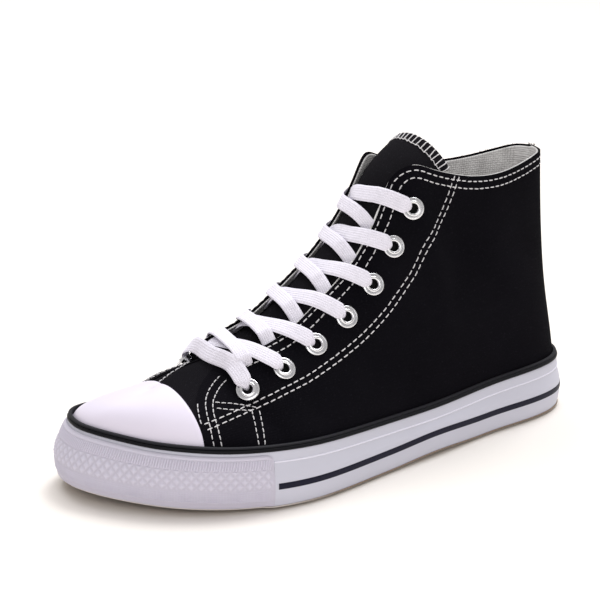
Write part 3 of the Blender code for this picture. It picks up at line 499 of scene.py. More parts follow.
# ---- making pieces ----
def piece(name, verts, faces, material, slot, stands_for=(), uv=None, angle=40.0):
    """Smooth closed mesh on the frame. uv is a pair of metres per point."""
    mesh = bpy.data.meshes.new(name)
    mesh.from_pydata((np.asarray(verts) + OFFSET).tolist(), [], faces)
    mesh.update()
    if uv is not None:
        corner = np.zeros(len(mesh.loops), np.int64)
        mesh.loops.foreach_get("vertex_index", corner)
        spread = uv[corner].astype(np.float32).ravel()
        mesh.uv_layers.new(name="cloth").data.foreach_set("uv", spread)
    bm = bmesh.new()
    bm.from_mesh(mesh)
    bmesh.ops.recalc_face_normals(bm, faces=bm.faces)
    bm.to_mesh(mesh)
    bm.free()
    mesh.shade_smooth()
    mesh.set_sharp_from_angle(angle=math.radians(angle))
    mesh.materials.append(material)
    ob = bpy.data.objects.new(name, mesh)
    bpy.context.scene.collection.objects.link(ob)
    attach(ob, "root")
    if stands_for:
        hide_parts(*stands_for)


def joined(parts):
    """Points and faces of several parts, and their lie of the cloth if they have it."""
    faces, base = [], 0
    for verts, own, *_ in parts:
        faces += [tuple(k + base for k in face) for face in own]
        base += len(verts)
    return (np.vstack([part[0] for part in parts]), faces,
            *(np.vstack([part[2] for part in parts]) for _ in parts[0][2:]))


def round_piece(name, loops, *looks, **more):
    """Piece of rings round the whole plan, the last joined to the first."""
    piece(name, np.vstack(loops), strip_faces(len(loops), ROUND), *looks, **more)


def long_piece(name, loops, *looks, **more):
    """Piece of lines side by side, closed round and at both ends."""
    verts = np.stack(loops, axis=1).reshape(-1, 3)
    piece(name, verts, capped(len(loops[0]), len(loops)), *looks, **more)


def sheet(name, points, normals, faces, high, low, *looks, bulge=1.0, uv=None, angle=60.0):
    """Piece between two heights over a face, with rounded edges."""
    high = np.broadcast_to(high, len(points))[:, None]
    low = np.broadcast_to(low, len(points))[:, None]
    edges = {edge for face in faces for edge in zip(face, face[1:] + face[:1])}
    rim = sorted((a, b) for a, b in edges if (b, a) not in edges)
    out = np.zeros((len(points), 3))
    for a, b in rim:
        way = np.cross(points[b] - points[a], normals[a] + normals[b])
        out[a] += way
        out[b] += way
    out = unit(out)
    used = sorted({k for face in faces for k in face})
    edge = sorted({k for pair in rim for k in pair})
    place = {k: i for i, k in enumerate(used)}
    count = len(used)
    top, bottom = points + normals * high, points + normals * low
    layers = [top[used], bottom[used]]
    for depth in EDGE_DEPTHS:
        swell = out * (high - low) * (0.5 * bulge * math.sin(math.pi * depth))
        layers.append((top + (bottom - top) * depth + swell)[edge])
    down = {k: [place[k], *range(2 * count + i, 2 * count + i + 3 * len(edge), len(edge)),
                place[k] + count] for i, k in enumerate(edge)}
    built = []
    for face in faces:
        over = tuple(place[k] for k in face)
        built += [over, tuple(k + count for k in reversed(over))]
    for a, b in rim:
        built += [(down[b][k], down[a][k], down[a][k + 1], down[b][k + 1]) for k in range(4)]
    if uv is not None:
        uv = uv[np.r_[used, used, edge, edge, edge]]
    piece(name, np.vstack(layers), built, *looks, uv=uv, angle=angle)


def tube(path, radius, sides=6):
    """Points and faces of a closed round tube along a line."""
    path = np.asarray(path)
    way = heading(path)
    across = unit(np.cross(way, (0.31, 0.52, 0.79)))
    for i in range(1, len(path)):
        across[i] = unit(across[i - 1] - way[i] * (across[i - 1] @ way[i]))
    turn = circle(sides)[:, None]
    ring = across[:, None] * np.cos(turn) + np.cross(way, across)[:, None] * np.sin(turn)
    return (path[:, None] + radius * ring).reshape(-1, 3), capped(len(path), sides)


# ---- face of the upper ----
def top_point(share, side):
    """Points of the upper's top line at shares of the way round."""
    along, centre, gap, rise = table(TOP_LINE, share).T
    met = (np.asarray(share) <= RIDGE_SHARE + 1e-9) | (np.asarray(share) >= 1.0)
    gap = np.where(met, 0.0, np.maximum(gap, 0.0))
    return np.column_stack([along, centre + side * gap, rise]) * MM


def rib(share, side, rows):
    """Points of ribs of the upper from the foxing up to the top line."""
    share = np.atleast_1d(share)
    flat, out = outline(side * share * REACH[side] + (side < 0) * -1e-9)
    foot = flat - out * upper_inset(flat[:, 0])[:, None]
    stand, lateral, medial, reach, turn, fall, full = table(RIB_FORM, share).T
    if side < 0:
        stand, reach = stand * full, reach * (0.3 + 0.7 * full)
    splay = np.radians(lateral if side > 0 else medial)
    turn = np.radians(np.where(share >= 1.0, 180.0, turn))
    fall = np.radians(fall)
    tilt = np.column_stack([out * np.sin(splay)[:, None], np.cos(splay)])
    away = np.column_stack([np.cos(turn) * np.cos(fall), side * np.sin(turn) * np.cos(fall),
                            -np.sin(fall)])
    p0 = np.column_stack([foot, foxing_top(flat[:, 0]) - UPPER_TUCK])
    p3 = top_point(share, side)
    knots = (p0, p0 + tilt * (stand * MM)[:, None], p3 + away * (reach * MM)[:, None], p3)
    p0, p1, p2, p3 = (p[:, None, :] for p in knots)
    t = np.linspace(0.0, 1.0, rows)[None, :, None]
    return ((1 - t) ** 3 * p0 + 3 * (1 - t) ** 2 * t * p1 + 3 * (1 - t) * t ** 2 * p2
            + t ** 3 * p3)


def upper_surface():
    """Points of the face and their numbers by side, share and row, the sides sewn together."""
    place, verts = {}, []
    for side in (1, -1):
        above = rib(SHARES, side, RIB_ROWS + 1)
        low = above[:, 0].copy()
        low[:, 2] = UPPER_FOOT + spring(low[:, 0])
        grid = np.concatenate([low[:, None], (low + above[:, 0])[:, None] / 2.0, above], axis=1)
        index = place[side] = np.zeros((HALF + 1, ROWS), int)
        for i, j in np.ndindex(index.shape):
            if side < 0 and (i in (0, HALF) or (j == ROWS - 1 and i <= RIDGE_END)):
                index[i, j] = place[1][i, j]
            else:
                index[i, j] = len(verts)
                verts.append(grid[i, j])
    return np.array(verts), place


def surface_normals(verts):
    """Ways out at the points of the upper's face."""
    q = np.array(QUADS)
    face = np.cross(verts[q[:, 2]] - verts[q[:, 0]], verts[q[:, 3]] - verts[q[:, 1]])
    face /= np.sqrt(np.maximum(np.linalg.norm(face, axis=1, keepdims=True), 1e-12))
    normals = np.zeros_like(verts)
    for column in q.T:
        np.add.at(normals, column, face)
    return unit(normals)


SURFACE, PLACE = upper_surface()
CELLS = [(side, i, j) for side in (1, -1) for i in range(HALF) for j in range(ROWS - 1)]
QUADS = grid_quads(PLACE[1]) + [quad[::-1] for quad in grid_quads(PLACE[-1])]
NORMALS = surface_normals(SURFACE)
SMOOTH_FACE = BVHTree.FromPolygons(SURFACE.tolist(), QUADS)


def crease_depth(points):
    """How far the cloth's soft troughs and ridges move points of the face."""
    total = np.zeros(len(points))
    for side, along, rise, turn, length, width, depth in CREASES:
        u = points[:, 0] / MM - along
        w = points[:, 2] / MM - rise
        c, s = math.cos(math.radians(turn)), math.sin(math.radians(turn))
        run = u * c + w * s
        over = w * c - u * s + 0.012 * run ** 2
        mask = np.exp(-(run / length) ** 2 - (over / width) ** 2)
        total += np.where(side * points[:, 1] > 0.008, mask * depth * MM, 0.0)
    return total


SURFACE = SURFACE + NORMALS * crease_depth(SURFACE)[:, None]
NORMALS = surface_normals(SURFACE)
for numbers in PLACE.values():
    skirt = numbers[:, :SKIRT].ravel()
    NORMALS[skirt] = unit(NORMALS[skirt] * (1, 1, 0))
FACE = BVHTree.FromPolygons(SURFACE.tolist(), QUADS)


def on_face(point):
    """Nearest point of the upper's face and the smooth way out there."""
    near, _, quad, _ = FACE.find_nearest(point)
    near, corners = np.array(near), list(QUADS[quad])
    weight = 1.0 / (np.linalg.norm(SURFACE[corners] - near, axis=1) + 1e-6) ** 2
    return near, unit((NORMALS[corners] * weight[:, None]).sum(axis=0))


def laid(points):
    """Line of points snapped on the face, with the way out at each."""
    near, out = zip(*map(on_face, points))
    return np.array(near), np.array(out)


def sample(share, row, side):
    """Points and normals of the face at shares and rows between its own."""
    at = np.clip(np.asarray(share, float) * HALF, 0, HALF - 1e-6)
    row = np.clip(np.asarray(row, float), 0, ROWS - 1 - 1e-6)
    return (mixed(SURFACE[PLACE[side]], at, row), unit(mixed(NORMALS[PLACE[side]], at, row)))


def from_beside(tree, along, rise, side):
    """Point of a face met from beside it, or the nearest one if none is."""
    hit = tree.ray_cast((along * MM, side * 0.09, rise * MM), (0, -side, 0))[0]
    return np.array(hit or tree.find_nearest((along * MM, side * 0.03, rise * MM))[0])


def seam_line(rows, side):
    """Even line on the face through a short table of along and rise."""
    rows = np.asarray(rows, float)
    if len(rows) > 2:
        run = lengths(rows)
        rows = spline(run, rows, np.linspace(0.0, run[-1], max(4, int(run[-1] / 2.0))))
    line = even(np.array([from_beside(FACE, along, rise, side) for along, rise in rows]))
    return laid(even(smooth(line, 10)))


def beside(line, normals, distance):
    """Line on the face at a distance to the left of another."""
    return laid(even(line + np.cross(normals, heading(line)) * distance))


def rim_line(low, side, reach, change):
    """Line on the face below the top line from a share to the heel, its reach changing
    at the collar."""
    share = np.linspace(low, RIM_END, int((RIM_END - low) * 420))
    edge, out = sample(share, ROWS - 1, side)
    down = np.cross(out, heading(edge))
    down *= np.sign((down * (sample(share, ROWS - 3, side)[0] - edge)).sum(axis=1).mean())
    reach = reach + change * smoothstep(share, *COLLAR)
    return laid(even(smooth(edge + down * reach[:, None], 2)))


def eyelet_frame(along, rise, side):
    """Seat of an eyelet on the face, the way out, the way up the throat and its share."""
    here = from_beside(SMOOTH_FACE, along, rise, side)
    share = np.linspace(*THROAT, 154)
    share = share[np.argmin(np.linalg.norm(top_point(share, side) - here, axis=1))]
    up = unit(top_point(share + 0.01, side)[0] - top_point(share - 0.01, side)[0])
    out = on_face(here)[1]
    across = unit(np.cross(up, out))
    rim = np.array([SMOOTH_FACE.ray_cast(
        here + EYELET_RADIUS * (up * math.cos(turn) + across * math.sin(turn)) + out * 0.01,
        -out)[0] for turn in circle(12)])
    flat = np.linalg.svd(rim - rim.mean(axis=0))[2][2]
    out = flat * np.sign(flat @ out)
    rest = max(0.0, *((rim - here) @ out))
    return here + out * rest, out, unit(up - out * (up @ out)), share


SEATS = {(k, side): eyelet_frame(along, rise + FIRST_LIFT * (k == 0 and side < 0), side)
         for side in (1, -1) for k, (along, rise) in enumerate(EYELETS)}


def off_edge(share, side, distance):
    """Point of the face at a distance below the top line."""
    points = rib(share, side, 41)[0][::-1]
    return along_line(points, lengths(points), distance)


# ---- tongue's face ----
def throat_centre(along):
    """Middle line of the throat at a length along the shoe, in mm."""
    rows = np.array(TOP_LINE)[:14][::-1]
    return np.interp(along, rows[:, 1], rows[:, 2])


def tongue_point(t, across):
    """Points of the tongue at a share of its length and shares across."""
    rows = np.array(TONGUE)
    run = lengths(rows[:, :2])
    at = np.full(len(across), t * run[-1])
    along, rise, half, wrap = spline(run, rows, at).T
    way = unit(spline(run, rows[:, :2], np.minimum(at + 0.5, run[-1]))
               - spline(run, rows[:, :2], np.maximum(at - 0.5, 0.0)))
    wrap = np.radians(wrap)
    radius = half / np.sin(wrap)
    down = radius - radius * np.cos(wrap * across)
    return np.column_stack([along - way[:, 1] * down,
                            throat_centre(along) + radius * np.sin(wrap * across),
                            rise + way[:, 0] * down]) * MM


def under_face(point):
    """Point moved inward where it would touch the upper's inner face."""
    for _ in range(3):
        near, out = on_face(point)
        off = point - near
        rise = off @ out
        room = WALL + TONGUE_ROOM - np.linalg.norm(off - out * rise) * 0.6
        point = point - out * max(0.0, rise + room)
    return point


def tongue_grid():
    """Evened points of the tongue's upper face, rows from its foot up."""
    across = np.linspace(-1.0, 1.0, TONGUE_COLUMNS + 1)
    grid = np.array([[under_face(p) for p in tongue_point(t, across)]
                     for t in np.linspace(0.0, 1.0, TONGUE_ROWS + 1)])
    for _ in range(3):
        near = (grid[:-2, 1:-1] + grid[2:, 1:-1] + grid[1:-1, :-2] + grid[1:-1, 2:]) / 4.0
        grid[1:-1, 1:-1] = (grid[1:-1, 1:-1] + near) / 2.0
    return grid


TONGUE_GRID = tongue_grid()
TONGUE_OUT = unit(np.cross(np.gradient(TONGUE_GRID, axis=1), np.gradient(TONGUE_GRID, axis=0)))
TONGUE_RUN = lengths(TONGUE_GRID[:, TONGUE_COLUMNS // 2])
TONGUE_FACES = strip_faces(TONGUE_ROWS + 1, TONGUE_COLUMNS + 1, False, False)
TONGUE_TREE = BVHTree.FromPolygons(TONGUE_GRID.reshape(-1, 3).tolist(), TONGUE_FACES)


# ---- node tools ----
class Graph:
    """Short way of adding and joining nodes in one tree."""

    def __init__(self, tree):
        self.tree = tree

    def feed(self, socket, value):
        if isinstance(value, bpy.types.NodeSocket):
            self.tree.links.new(value, socket)
        else:
            socket.default_value = value

    def node(self, kind, put=None, **settings):
        """New node with its settings made, then its sockets fed."""
        made = self.tree.nodes.new("ShaderNode" + kind)
        for key, value in settings.items():
            setattr(made, key, value)
        for key, value in (put or {}).items():
            self.feed(made.inputs[key], value)
        return made

    def math(self, operation, *values):
        return self.node("Math", dict(enumerate(values)), operation=operation).outputs[0]

    def mix(self, factor, *colours):
        a, b = ((*c, 1.0) if isinstance(c, tuple) else c for c in colours)
        return self.node("Mix", {0: factor, 6: a, 7: b}, data_type="RGBA").outputs[2]

    def span(self, value, low, high, to_low=0.0, to_high=1.0):
        return self.node("MapRange", {"From Min": low, "From Max": high, "To Min": to_low,
                                      "To Max": to_high, "Value": value}).outputs[0]

    def noise(self, vector, scale, detail=2.0, roughness=0.5):
        return self.node("TexNoise", {"Vector": vector, "Scale": scale, "Detail": detail,
                                      "Roughness": roughness}).outputs[0]

    def use(self, tree, **put):
        return self.node("Group", put, node_tree=tree).outputs

    def cloth(self):
        return self.node("UVMap", uv_map="cloth").outputs[0]

    def place(self):
        return self.node("TexCoord").outputs["Object"]


def group(fill, outputs, **inputs):
    """Node group named after the function that fills it; None stands for a vector."""
    tree = bpy.data.node_groups.new(fill.__name__, "ShaderNodeTree")
    for label, value in inputs.items():
        kind = "NodeSocketVector" if value is None else "NodeSocketFloat"
        made = tree.interface.new_socket(label, in_out="INPUT", socket_type=kind)
        if value is not None:
            made.default_value = value
    for label in outputs:
        tree.interface.new_socket(label, in_out="OUTPUT", socket_type="NodeSocketFloat")
    g = Graph(tree)
    start, end = tree.nodes.new("NodeGroupInput"), tree.nodes.new("NodeGroupOutput")
    for label, value in zip(outputs, fill(g, *(start.outputs[label] for label in inputs))):
        g.feed(end.inputs[label], value)
    return tree


def plain_weave(g, cloth, pitch):
    """Threads over and under each other at a pitch in metres, with loose lint."""
    scaled = g.node("VectorMath", {0: cloth, "Scale": g.math("DIVIDE", math.pi, pitch)},
                    operation="SCALE")
    apart = g.node("SeparateXYZ", {0: scaled.outputs[0]}).outputs
    wobble = g.math("MULTIPLY", g.noise(cloth, 420.0, 1.0), 2.2)
    across, up = (g.math("SINE", g.math("ADD", apart[c], wobble)) for c in (0, 1))
    a, b = g.math("ABSOLUTE", across), g.math("ABSOLUTE", up)
    warp = g.math("MULTIPLY", a, g.math("MULTIPLY_ADD", b, 0.4, 0.6))
    weft = g.math("MULTIPLY", b, g.math("MULTIPLY_ADD", a, 0.4, 0.6))
    over = g.math("GREATER_THAN", g.math("MULTIPLY", across, up), 0.0)
    height = g.math("ADD", g.math("MULTIPLY", warp, over),
                    g.math("MULTIPLY", weft, g.math("SUBTRACT", 1.0, over)))
    return height, g.span(g.noise(cloth, 900.0, 2.0, 0.7), 0.60, 0.78)


def cord_weave(g, cloth, rib, stitch):
    """Lace cloth: ribs along it and a small herringbone across them."""
    along, over, _ = g.node("SeparateXYZ", {0: cloth}).outputs
    zig = g.math("PINGPONG", over, g.math("MULTIPLY", rib, 0.5))
    slant = g.math("ADD", along, g.math("MULTIPLY", zig, 1.1))
    ribs, twill = (
        g.math("SINE", g.math("MULTIPLY", way, g.math("DIVIDE", 2.0 * math.pi, pitch)))
        for way, pitch in ((over, rib), (slant, stitch)))
    height = g.math("ADD", g.math("MULTIPLY", ribs, 0.55), g.math("MULTIPLY", twill, 0.45))
    return height, g.span(ribs, -1.0, -0.45, 1.0, 0.0)


def moulded_rubber(g, place, grain):
    """Fine grain of moulded rubber with faint grey handling marks."""
    streak = g.node("Mapping", {"Vector": place, "Scale": (1.0, 1.0, 5.0)}).outputs[0]
    marks = g.span(g.noise(streak, 55.0, 5.0, 0.65), 0.60, 0.80)
    return g.noise(place, grain, 3.0), marks, g.noise(place, 22.0, 3.0)


WEAVE = group(plain_weave, ("Height", "Lint"), Cloth=None, Pitch=0.0006)
CORD = group(cord_weave, ("Height", "Line"), Cloth=None, Rib=0.00115, Stitch=0.0011)
MOULDED = group(moulded_rubber, ("Height", "Marks", "Cloud"), Position=None, Grain=1400.0)


def material(name, colour, rough, specular=0.5, **sockets):
    """New material, its graph and its shader, with plain values on the sockets."""
    mat = bpy.data.materials.new(name)
    mat.use_nodes = True
    shader = mat.node_tree.nodes["Principled BSDF"].inputs
    sockets = {"Base_Color": (*colour, 1.0), "Roughness": rough,
               "Specular_IOR_Level": specular, **sockets}
    for label, value in sockets.items():
        shader[label.replace("_", " ")].default_value = value
    return mat, Graph(mat.node_tree), shader


def coat(g, shader, tone, height, strength, distance):
    """Feed a tone and a small raised pattern to the shader."""
    bump = g.node("Bump", {"Height": height, "Strength": strength, "Distance": distance})
    g.feed(shader["Base Color"], tone)
    g.feed(shader["Normal"], bump.outputs[0])


def canvas(name, dark, light, pitch=0.00062, depth=0.00016, lint=0.5, specular=0.03,
           mottle=24.0, clouded=0.55, weave_shade=0.55):
    mat, g, shader = material(name, dark, 0.95, specular)
    weave = g.use(WEAVE, Cloth=g.cloth(), Pitch=pitch)
    cloud = g.span(g.noise(g.place(), mottle, 3.0), 0.30, 0.72)
    tone = g.mix(g.math("MULTIPLY", cloud, clouded), dark, light)
    # painted shade and highlight: raised threads are toned lighter and the gaps between them darker
    tone = g.mix(g.math("MULTIPLY", weave["Height"], weave_shade), tone, light)
    tone = g.mix(g.math("MULTIPLY", weave["Lint"], lint), tone,
                 tuple(min(1.0, c * 2.6 + 0.004) for c in light))
    coat(g, shader, tone, weave["Height"], 0.8, depth)
    return mat


def rubber(name, colour, worn, rough=0.50, specular=0.3, grain=0.00003, painted_shade=None,
           share=0.40, varnish=0.0):
    """Moulded rubber, toned to a painted shade colour where the lie of the cloth is near nought."""
    mat, g, shader = material(name, colour, rough, specular, Coat_Weight=varnish,
                              Coat_Roughness=0.25)
    part = g.use(MOULDED, Position=g.place())
    tone = g.mix(g.math("MULTIPLY", part["Cloud"], 0.5), colour, worn)
    tone = g.mix(g.math("MULTIPLY", part["Marks"], 0.35), tone, worn)
    # painted shade: the shade colour darkens the rubber where the cloth map's second value is low
    if painted_shade:
        depth = g.node("SeparateXYZ", {0: g.cloth()}).outputs[1]
        tone = g.mix(g.span(depth, 0.0, 0.50, share, 0.0), tone, painted_shade)
    g.feed(shader["Roughness"], g.span(part["Cloud"], 0.2, 0.8, rough - 0.05, rough + 0.07))
    coat(g, shader, tone, part["Height"], 0.5, grain)
    return mat


def thread(name, colour, shade):
    """Twisted thread: small slanted ridges along it."""
    mat, g, shader = material(name, colour, 0.75, 0.2, Sheen_Weight=0.1)
    twist = g.noise(g.place(), 2600.0, 1.0)
    coat(g, shader, g.mix(g.span(twist, 0.3, 0.7), shade, colour), twist, 0.6, 0.00008)
    return mat


def lace_material():
    """White cotton, the lines between its ribs toned darker as painted shade."""
    mat, g, shader = material("lace_cotton", (0.84, 0.81, 0.91), 0.85, 0.1)
    weave = g.use(CORD, Cloth=g.cloth())
    # painted shade in the grooves between the ribs
    tone = g.mix(g.math("MULTIPLY", weave["Line"], 0.38), (0.86, 0.83, 0.93),
                 (0.62, 0.60, 0.68))
    tone = g.mix(g.span(g.noise(g.place(), 320.0, 2.0), 0.45, 0.8, 0.0, 0.25), tone,
                 (0.60, 0.58, 0.65))
    coat(g, shader, tone, weave["Height"], 0.9, 0.00012)
    return mat


def metal_material():
    """Bright plated metal, a little rubbed."""
    mat, g, shader = material("eyelet_metal", (0.80, 0.80, 0.82), 0.2, Metallic=1.0)
    rub = g.noise(g.place(), 900.0, 3.0, 0.6)
    g.feed(shader["Roughness"], g.span(rub, 0.3, 0.7, 0.16, 0.26))
    tone = g.mix(g.span(rub, 0.35, 0.7), (0.86, 0.86, 0.88), (0.76, 0.76, 0.79))
    coat(g, shader, tone, rub, 0.12, 0.00002)
    return mat


BLACK_CANVAS = canvas("black_canvas", (0.0022, 0.0020, 0.0032), (0.0076, 0.0070, 0.0098))
# painted light: the vamp faces up into the light, so it takes a lighter copy of the black canvas
# with stronger weave toning
VAMP_CANVAS_LIT = canvas("vamp_canvas_lit", (0.0036, 0.0033, 0.0046), (0.0125, 0.0116, 0.0146),
                     depth=0.00020, weave_shade=0.75)
TONGUE_CANVAS = canvas("tongue_canvas", (0.0052, 0.0048, 0.0062), (0.0165, 0.0154, 0.0188))
LINING = canvas("lining_canvas", (0.48, 0.465, 0.46), (1.0, 0.985, 0.98), 0.0011, 0.00045,
                lint=0.15, specular=0.1, mottle=170.0, clouded=0.75, weave_shade=0.65)
INSOLE_CLOTH = canvas("insole_cloth", (0.50, 0.48, 0.46), (0.62, 0.60, 0.58), 0.0007, 0.0002,
                      lint=0.1, specular=0.1, weave_shade=0.40)
WHITE_RUBBER = rubber("white_rubber", (0.592, 0.592, 0.685), (0.525, 0.523, 0.598))
CAP_RUBBER = rubber("cap_rubber", (0.77, 0.72, 0.845), (0.72, 0.675, 0.78), 0.42, varnish=0.05)
# painted highlight: the raised line round the foxing is toned whiter than the foxing's rubber for
# the light it catches
LINE_RUBBER_LIT = rubber("line_rubber_lit", (0.80, 0.79, 0.90), (0.74, 0.73, 0.83), 0.45)
# painted shade: the recesses of the bumper's pattern are toned darker through the shade colour
BUMPER_RUBBER = rubber("bumper_rubber", (0.637, 0.612, 0.722), (0.547, 0.529, 0.628), 0.52,
                       painted_shade=(0.40, 0.37, 0.44))
PIPING_RUBBER = rubber("piping_rubber", (0.0030, 0.0030, 0.0050), (0.0070, 0.0070, 0.0095),
                       0.45, 0.12)
EDGE_RUBBER = rubber("edge_rubber", (0.011, 0.011, 0.0145), (0.020, 0.020, 0.025), 0.55, 0.12)
STRIPE_RUBBER = rubber("stripe_rubber", (0.006, 0.006, 0.019), (0.010, 0.010, 0.027),
                       specular=0.15)
# painted shade: the dark brown shade colour lies under the sole and along its edge at the waist and
# heel, for the shadow under the foxing
GUM_RUBBER = rubber("gum_rubber", (0.74, 0.69, 0.66), (0.66, 0.60, 0.56), 0.65, 0.15, 0.00008,
                    painted_shade=(0.22, 0.145, 0.085), share=1.0)
WHITE_THREAD = thread("white_thread", (0.80, 0.78, 0.80), (0.55, 0.54, 0.56))
BLACK_THREAD = thread("black_thread", (0.012, 0.012, 0.014), (0.006, 0.006, 0.008))
LACE_COTTON = lace_material()
EYELET_METAL = metal_material()
# painted shade: near-black, non-metal finish for the dark inside of the eyelets' bores
BARREL_SHADE = material("eyelet_barrel", (0.012, 0.012, 0.013), 0.6, 0.05)[0]


# ---- sole ----
def fill_across(verts, faces, start, columns, rise=None):
    """Close the ring of the plan that starts at a point with rows across it."""
    rows = []
    for i in range(HALF + 1):
        a, b = start + i, start + (ROUND - i) % ROUND
        row = [a]
        if 0 < i < HALF:
            near, far = np.array(verts[a]), np.array(verts[b])
            for c in range(1, columns):
                p = near + (far - near) * c / columns
                row.append(len(verts))
                verts.append((p[0], p[1], rise(p, c / columns, near, far)))
            row.append(b)
        rows.append(row)
    for near, far in zip(rows, rows[1:]):
        wide = max(len(near), len(far))
        near, far = (row * wide if len(row) == 1 else row for row in (near, far))
        faces += [tuple(dict.fromkeys((near[j], near[j + 1], far[j + 1], far[j])))
                  for j in range(wide - 1)]


def outsole():
    """Gum sole with zigzag grooves and small lozenges between them."""
    x = PLAN_X
    rim = foxing_out(x) + SOLE_INSET
    core = lean(x) + FOXING_WALL + GAP
    low = ground(x)
    pairs = [(rim + step * MM, low + up * MM) for step, up in SOLE_EDGE]
    pairs += [(rim, low + SOLE_LINE), (core, low + SOLE_LINE), (core, spring(x) + OUTSOLE_TOP)]
    verts = [tuple(p) for loop in plan_rings(pairs) for p in loop]
    faces = strip_faces(len(pairs), ROUND, False)
    fill_across(verts, faces, 0, TREAD_COLUMNS, tread_height)
    fill_across(verts, faces, (len(pairs) - 1) * ROUND, 1)
    uv = np.zeros((len(verts), 2))
    # painted shade: the underside and the rest of the edge take the dark brown shade colour; the
    # edge in sight is dark from the heel to the ball of the foot and pale toward the toe, for the
    # shadow under the foxing
    uv[3 * ROUND:5 * ROUND, 1] = np.tile(0.10 + 0.40 * smoothstep(x, 0.160, 0.215), 2)
    piece("outsole_tread", verts, faces, GUM_RUBBER, "gum_rubber", ["outsole"], uv=uv, angle=30.0)


def tread_height(point, _, lateral, medial):
    """Height of the tread at a point, between the sole's lateral and medial edges."""
    x, y, _ = point
    edge = min(abs(y - lateral[1]), abs(y - medial[1]), x - 0.004, 0.266 - x) - TREAD_RIM
    if edge < 0.0:
        return ground(x)
    depth = 0.0
    for along, half in TREAD:
        reach = (y - (lateral[1] + medial[1]) / 2.0) / (half * MM)
        if abs(reach) <= 1.0:
            zig = GROOVE_ZIGZAG * (1.0 - 2.0 * abs((reach + 1.0) % 1.0 * 2.0 - 1.0))
            gap = abs(x - along * MM - zig) / (GROOVE_WIDTH / 2.0)
            depth = max(depth, GROOVE_DEPTH * min(1.0, max(0.0, (1.15 - gap) * 4.0)))
    ridge = max(abs(way / LOZENGE % 1.0 - 0.5) for way in (x + y, x - y))
    fine = LOZENGE_DEPTH * min(1.0, max(0.0, (ridge - 0.36) / 0.08))
    return ground(x) + max(depth, fine * min(1.0, edge / 0.001))


def wall_rows(inset, height, steps):
    """Smooth face through five insets and heights."""
    at = np.linspace(0.0, 4.0, steps)
    return (spline(np.arange(5.0), values, at) for values in (inset, height))


def wall_profile(x, steps):
    """Inset and height up the foxing's outer face at the plan's points."""
    low, top, out = foxing_foot(x), foxing_top(x), foxing_out(x)
    return wall_rows(np.array([out + 0.0009, out + 0.0002, out, shoulder(x), lean(x)]),
                     np.array([low, low + 0.0040, low + 0.0110, low * 0.3 + top * 0.7, top]),
                     steps)


def foxing():
    """White wall round the sole with small grooves, three more at the heel."""
    x = PLAN_X
    inset, height = wall_profile(x, 52)
    top, inner = foxing_top(x), lean(x) + FOXING_WALL
    below = top - height
    swell = -GROOVE_SINK * bump_at(below, TOP_GROOVE, 0.0005)
    for k in (1, 2, 3):
        swell += (HEEL_RIB_RISE * smoothstep(x, 0.070, 0.030)
                  * bump_at(below, HEEL_RIB * k, 0.00030))
    swell -= GROOVE_SINK * bump_at(height - ground(x), LOW_GROOVE, 0.0005)
    height[-1] -= 0.0003
    pairs = [*zip(inset - swell, height), (lean(x) + 0.0002, top), (inner, top),
             (inner, foxing_foot(x))]
    round_piece("foxing_band", plan_rings(pairs), WHITE_RUBBER, "white_rubber", ["foxing"],
                angle=50.0)


def band_on_foxing(name, levels, finish, slot, start, from_top=False):
    """Band round the foxing's face, from one end of the bumper to the other."""
    run = np.r_[np.linspace(bumper_end(1) + start, REACH[1], 240),
                -np.linspace(REACH[-1], bumper_end(-1) + start, 240)[1:]]
    flat, out = outline(run)
    x = flat[:, 0]
    inset, height = wall_profile(x, 60)
    base = foxing_top(x) if from_top else ground(x)
    loops = []
    for level, proud in levels:
        at = np.array([np.interp(*line) for line in zip(base + level * MM, height.T, inset.T)])
        loops.append(ring_at(flat, out, at - proud * MM, base + level * MM))
    long_piece(name, loops, finish, slot)


def bumper_end(side):
    """Length from the toe tip to the bumper's rear end."""
    run = np.linspace(0.03, 0.14, 2201)
    return float(np.interp(-BUMPER_REAR, -outline(side * run)[0][:, 0], run))


def toe_relief(run, below):
    """Raised pattern of the toe bumper under its top edge."""
    def band(from_top, full, fading, to_end):
        return smoothstep(below, from_top, full) * smoothstep(below, fading, to_end)

    lip = BUMPER_LIP * bump_at(below, 0.0007, 0.00045)
    ribs = 0.5 + 0.5 * np.cos(2.0 * np.pi * (run + 0.22 * below) / BUMPER_RIB)
    a, c = run / BUMPER_GEM[0], (below - 0.0059) / BUMPER_GEM[1]
    gems = 1.0 - 2.0 * np.maximum(abs((a + c) % 1.0 - 0.5), abs((a - c) % 1.0 - 0.5))
    hatch = 1.0 + (np.sin(2.0 * np.pi * (run + below) / BUMPER_HATCH)
                   * np.sin(2.0 * np.pi * (run - below) / BUMPER_HATCH))
    return ((lip + RIB_RISE * ribs * band(*RIB_BAND)
             + GEM_RISE * np.clip(gems - 0.08, 0.0, 1.0) * band(*GEM_BAND)
             + HATCH_RISE * hatch * band(*HATCH_BAND))
            * smoothstep(bumper_end(1) - abs(run), 0.0, 0.0030))


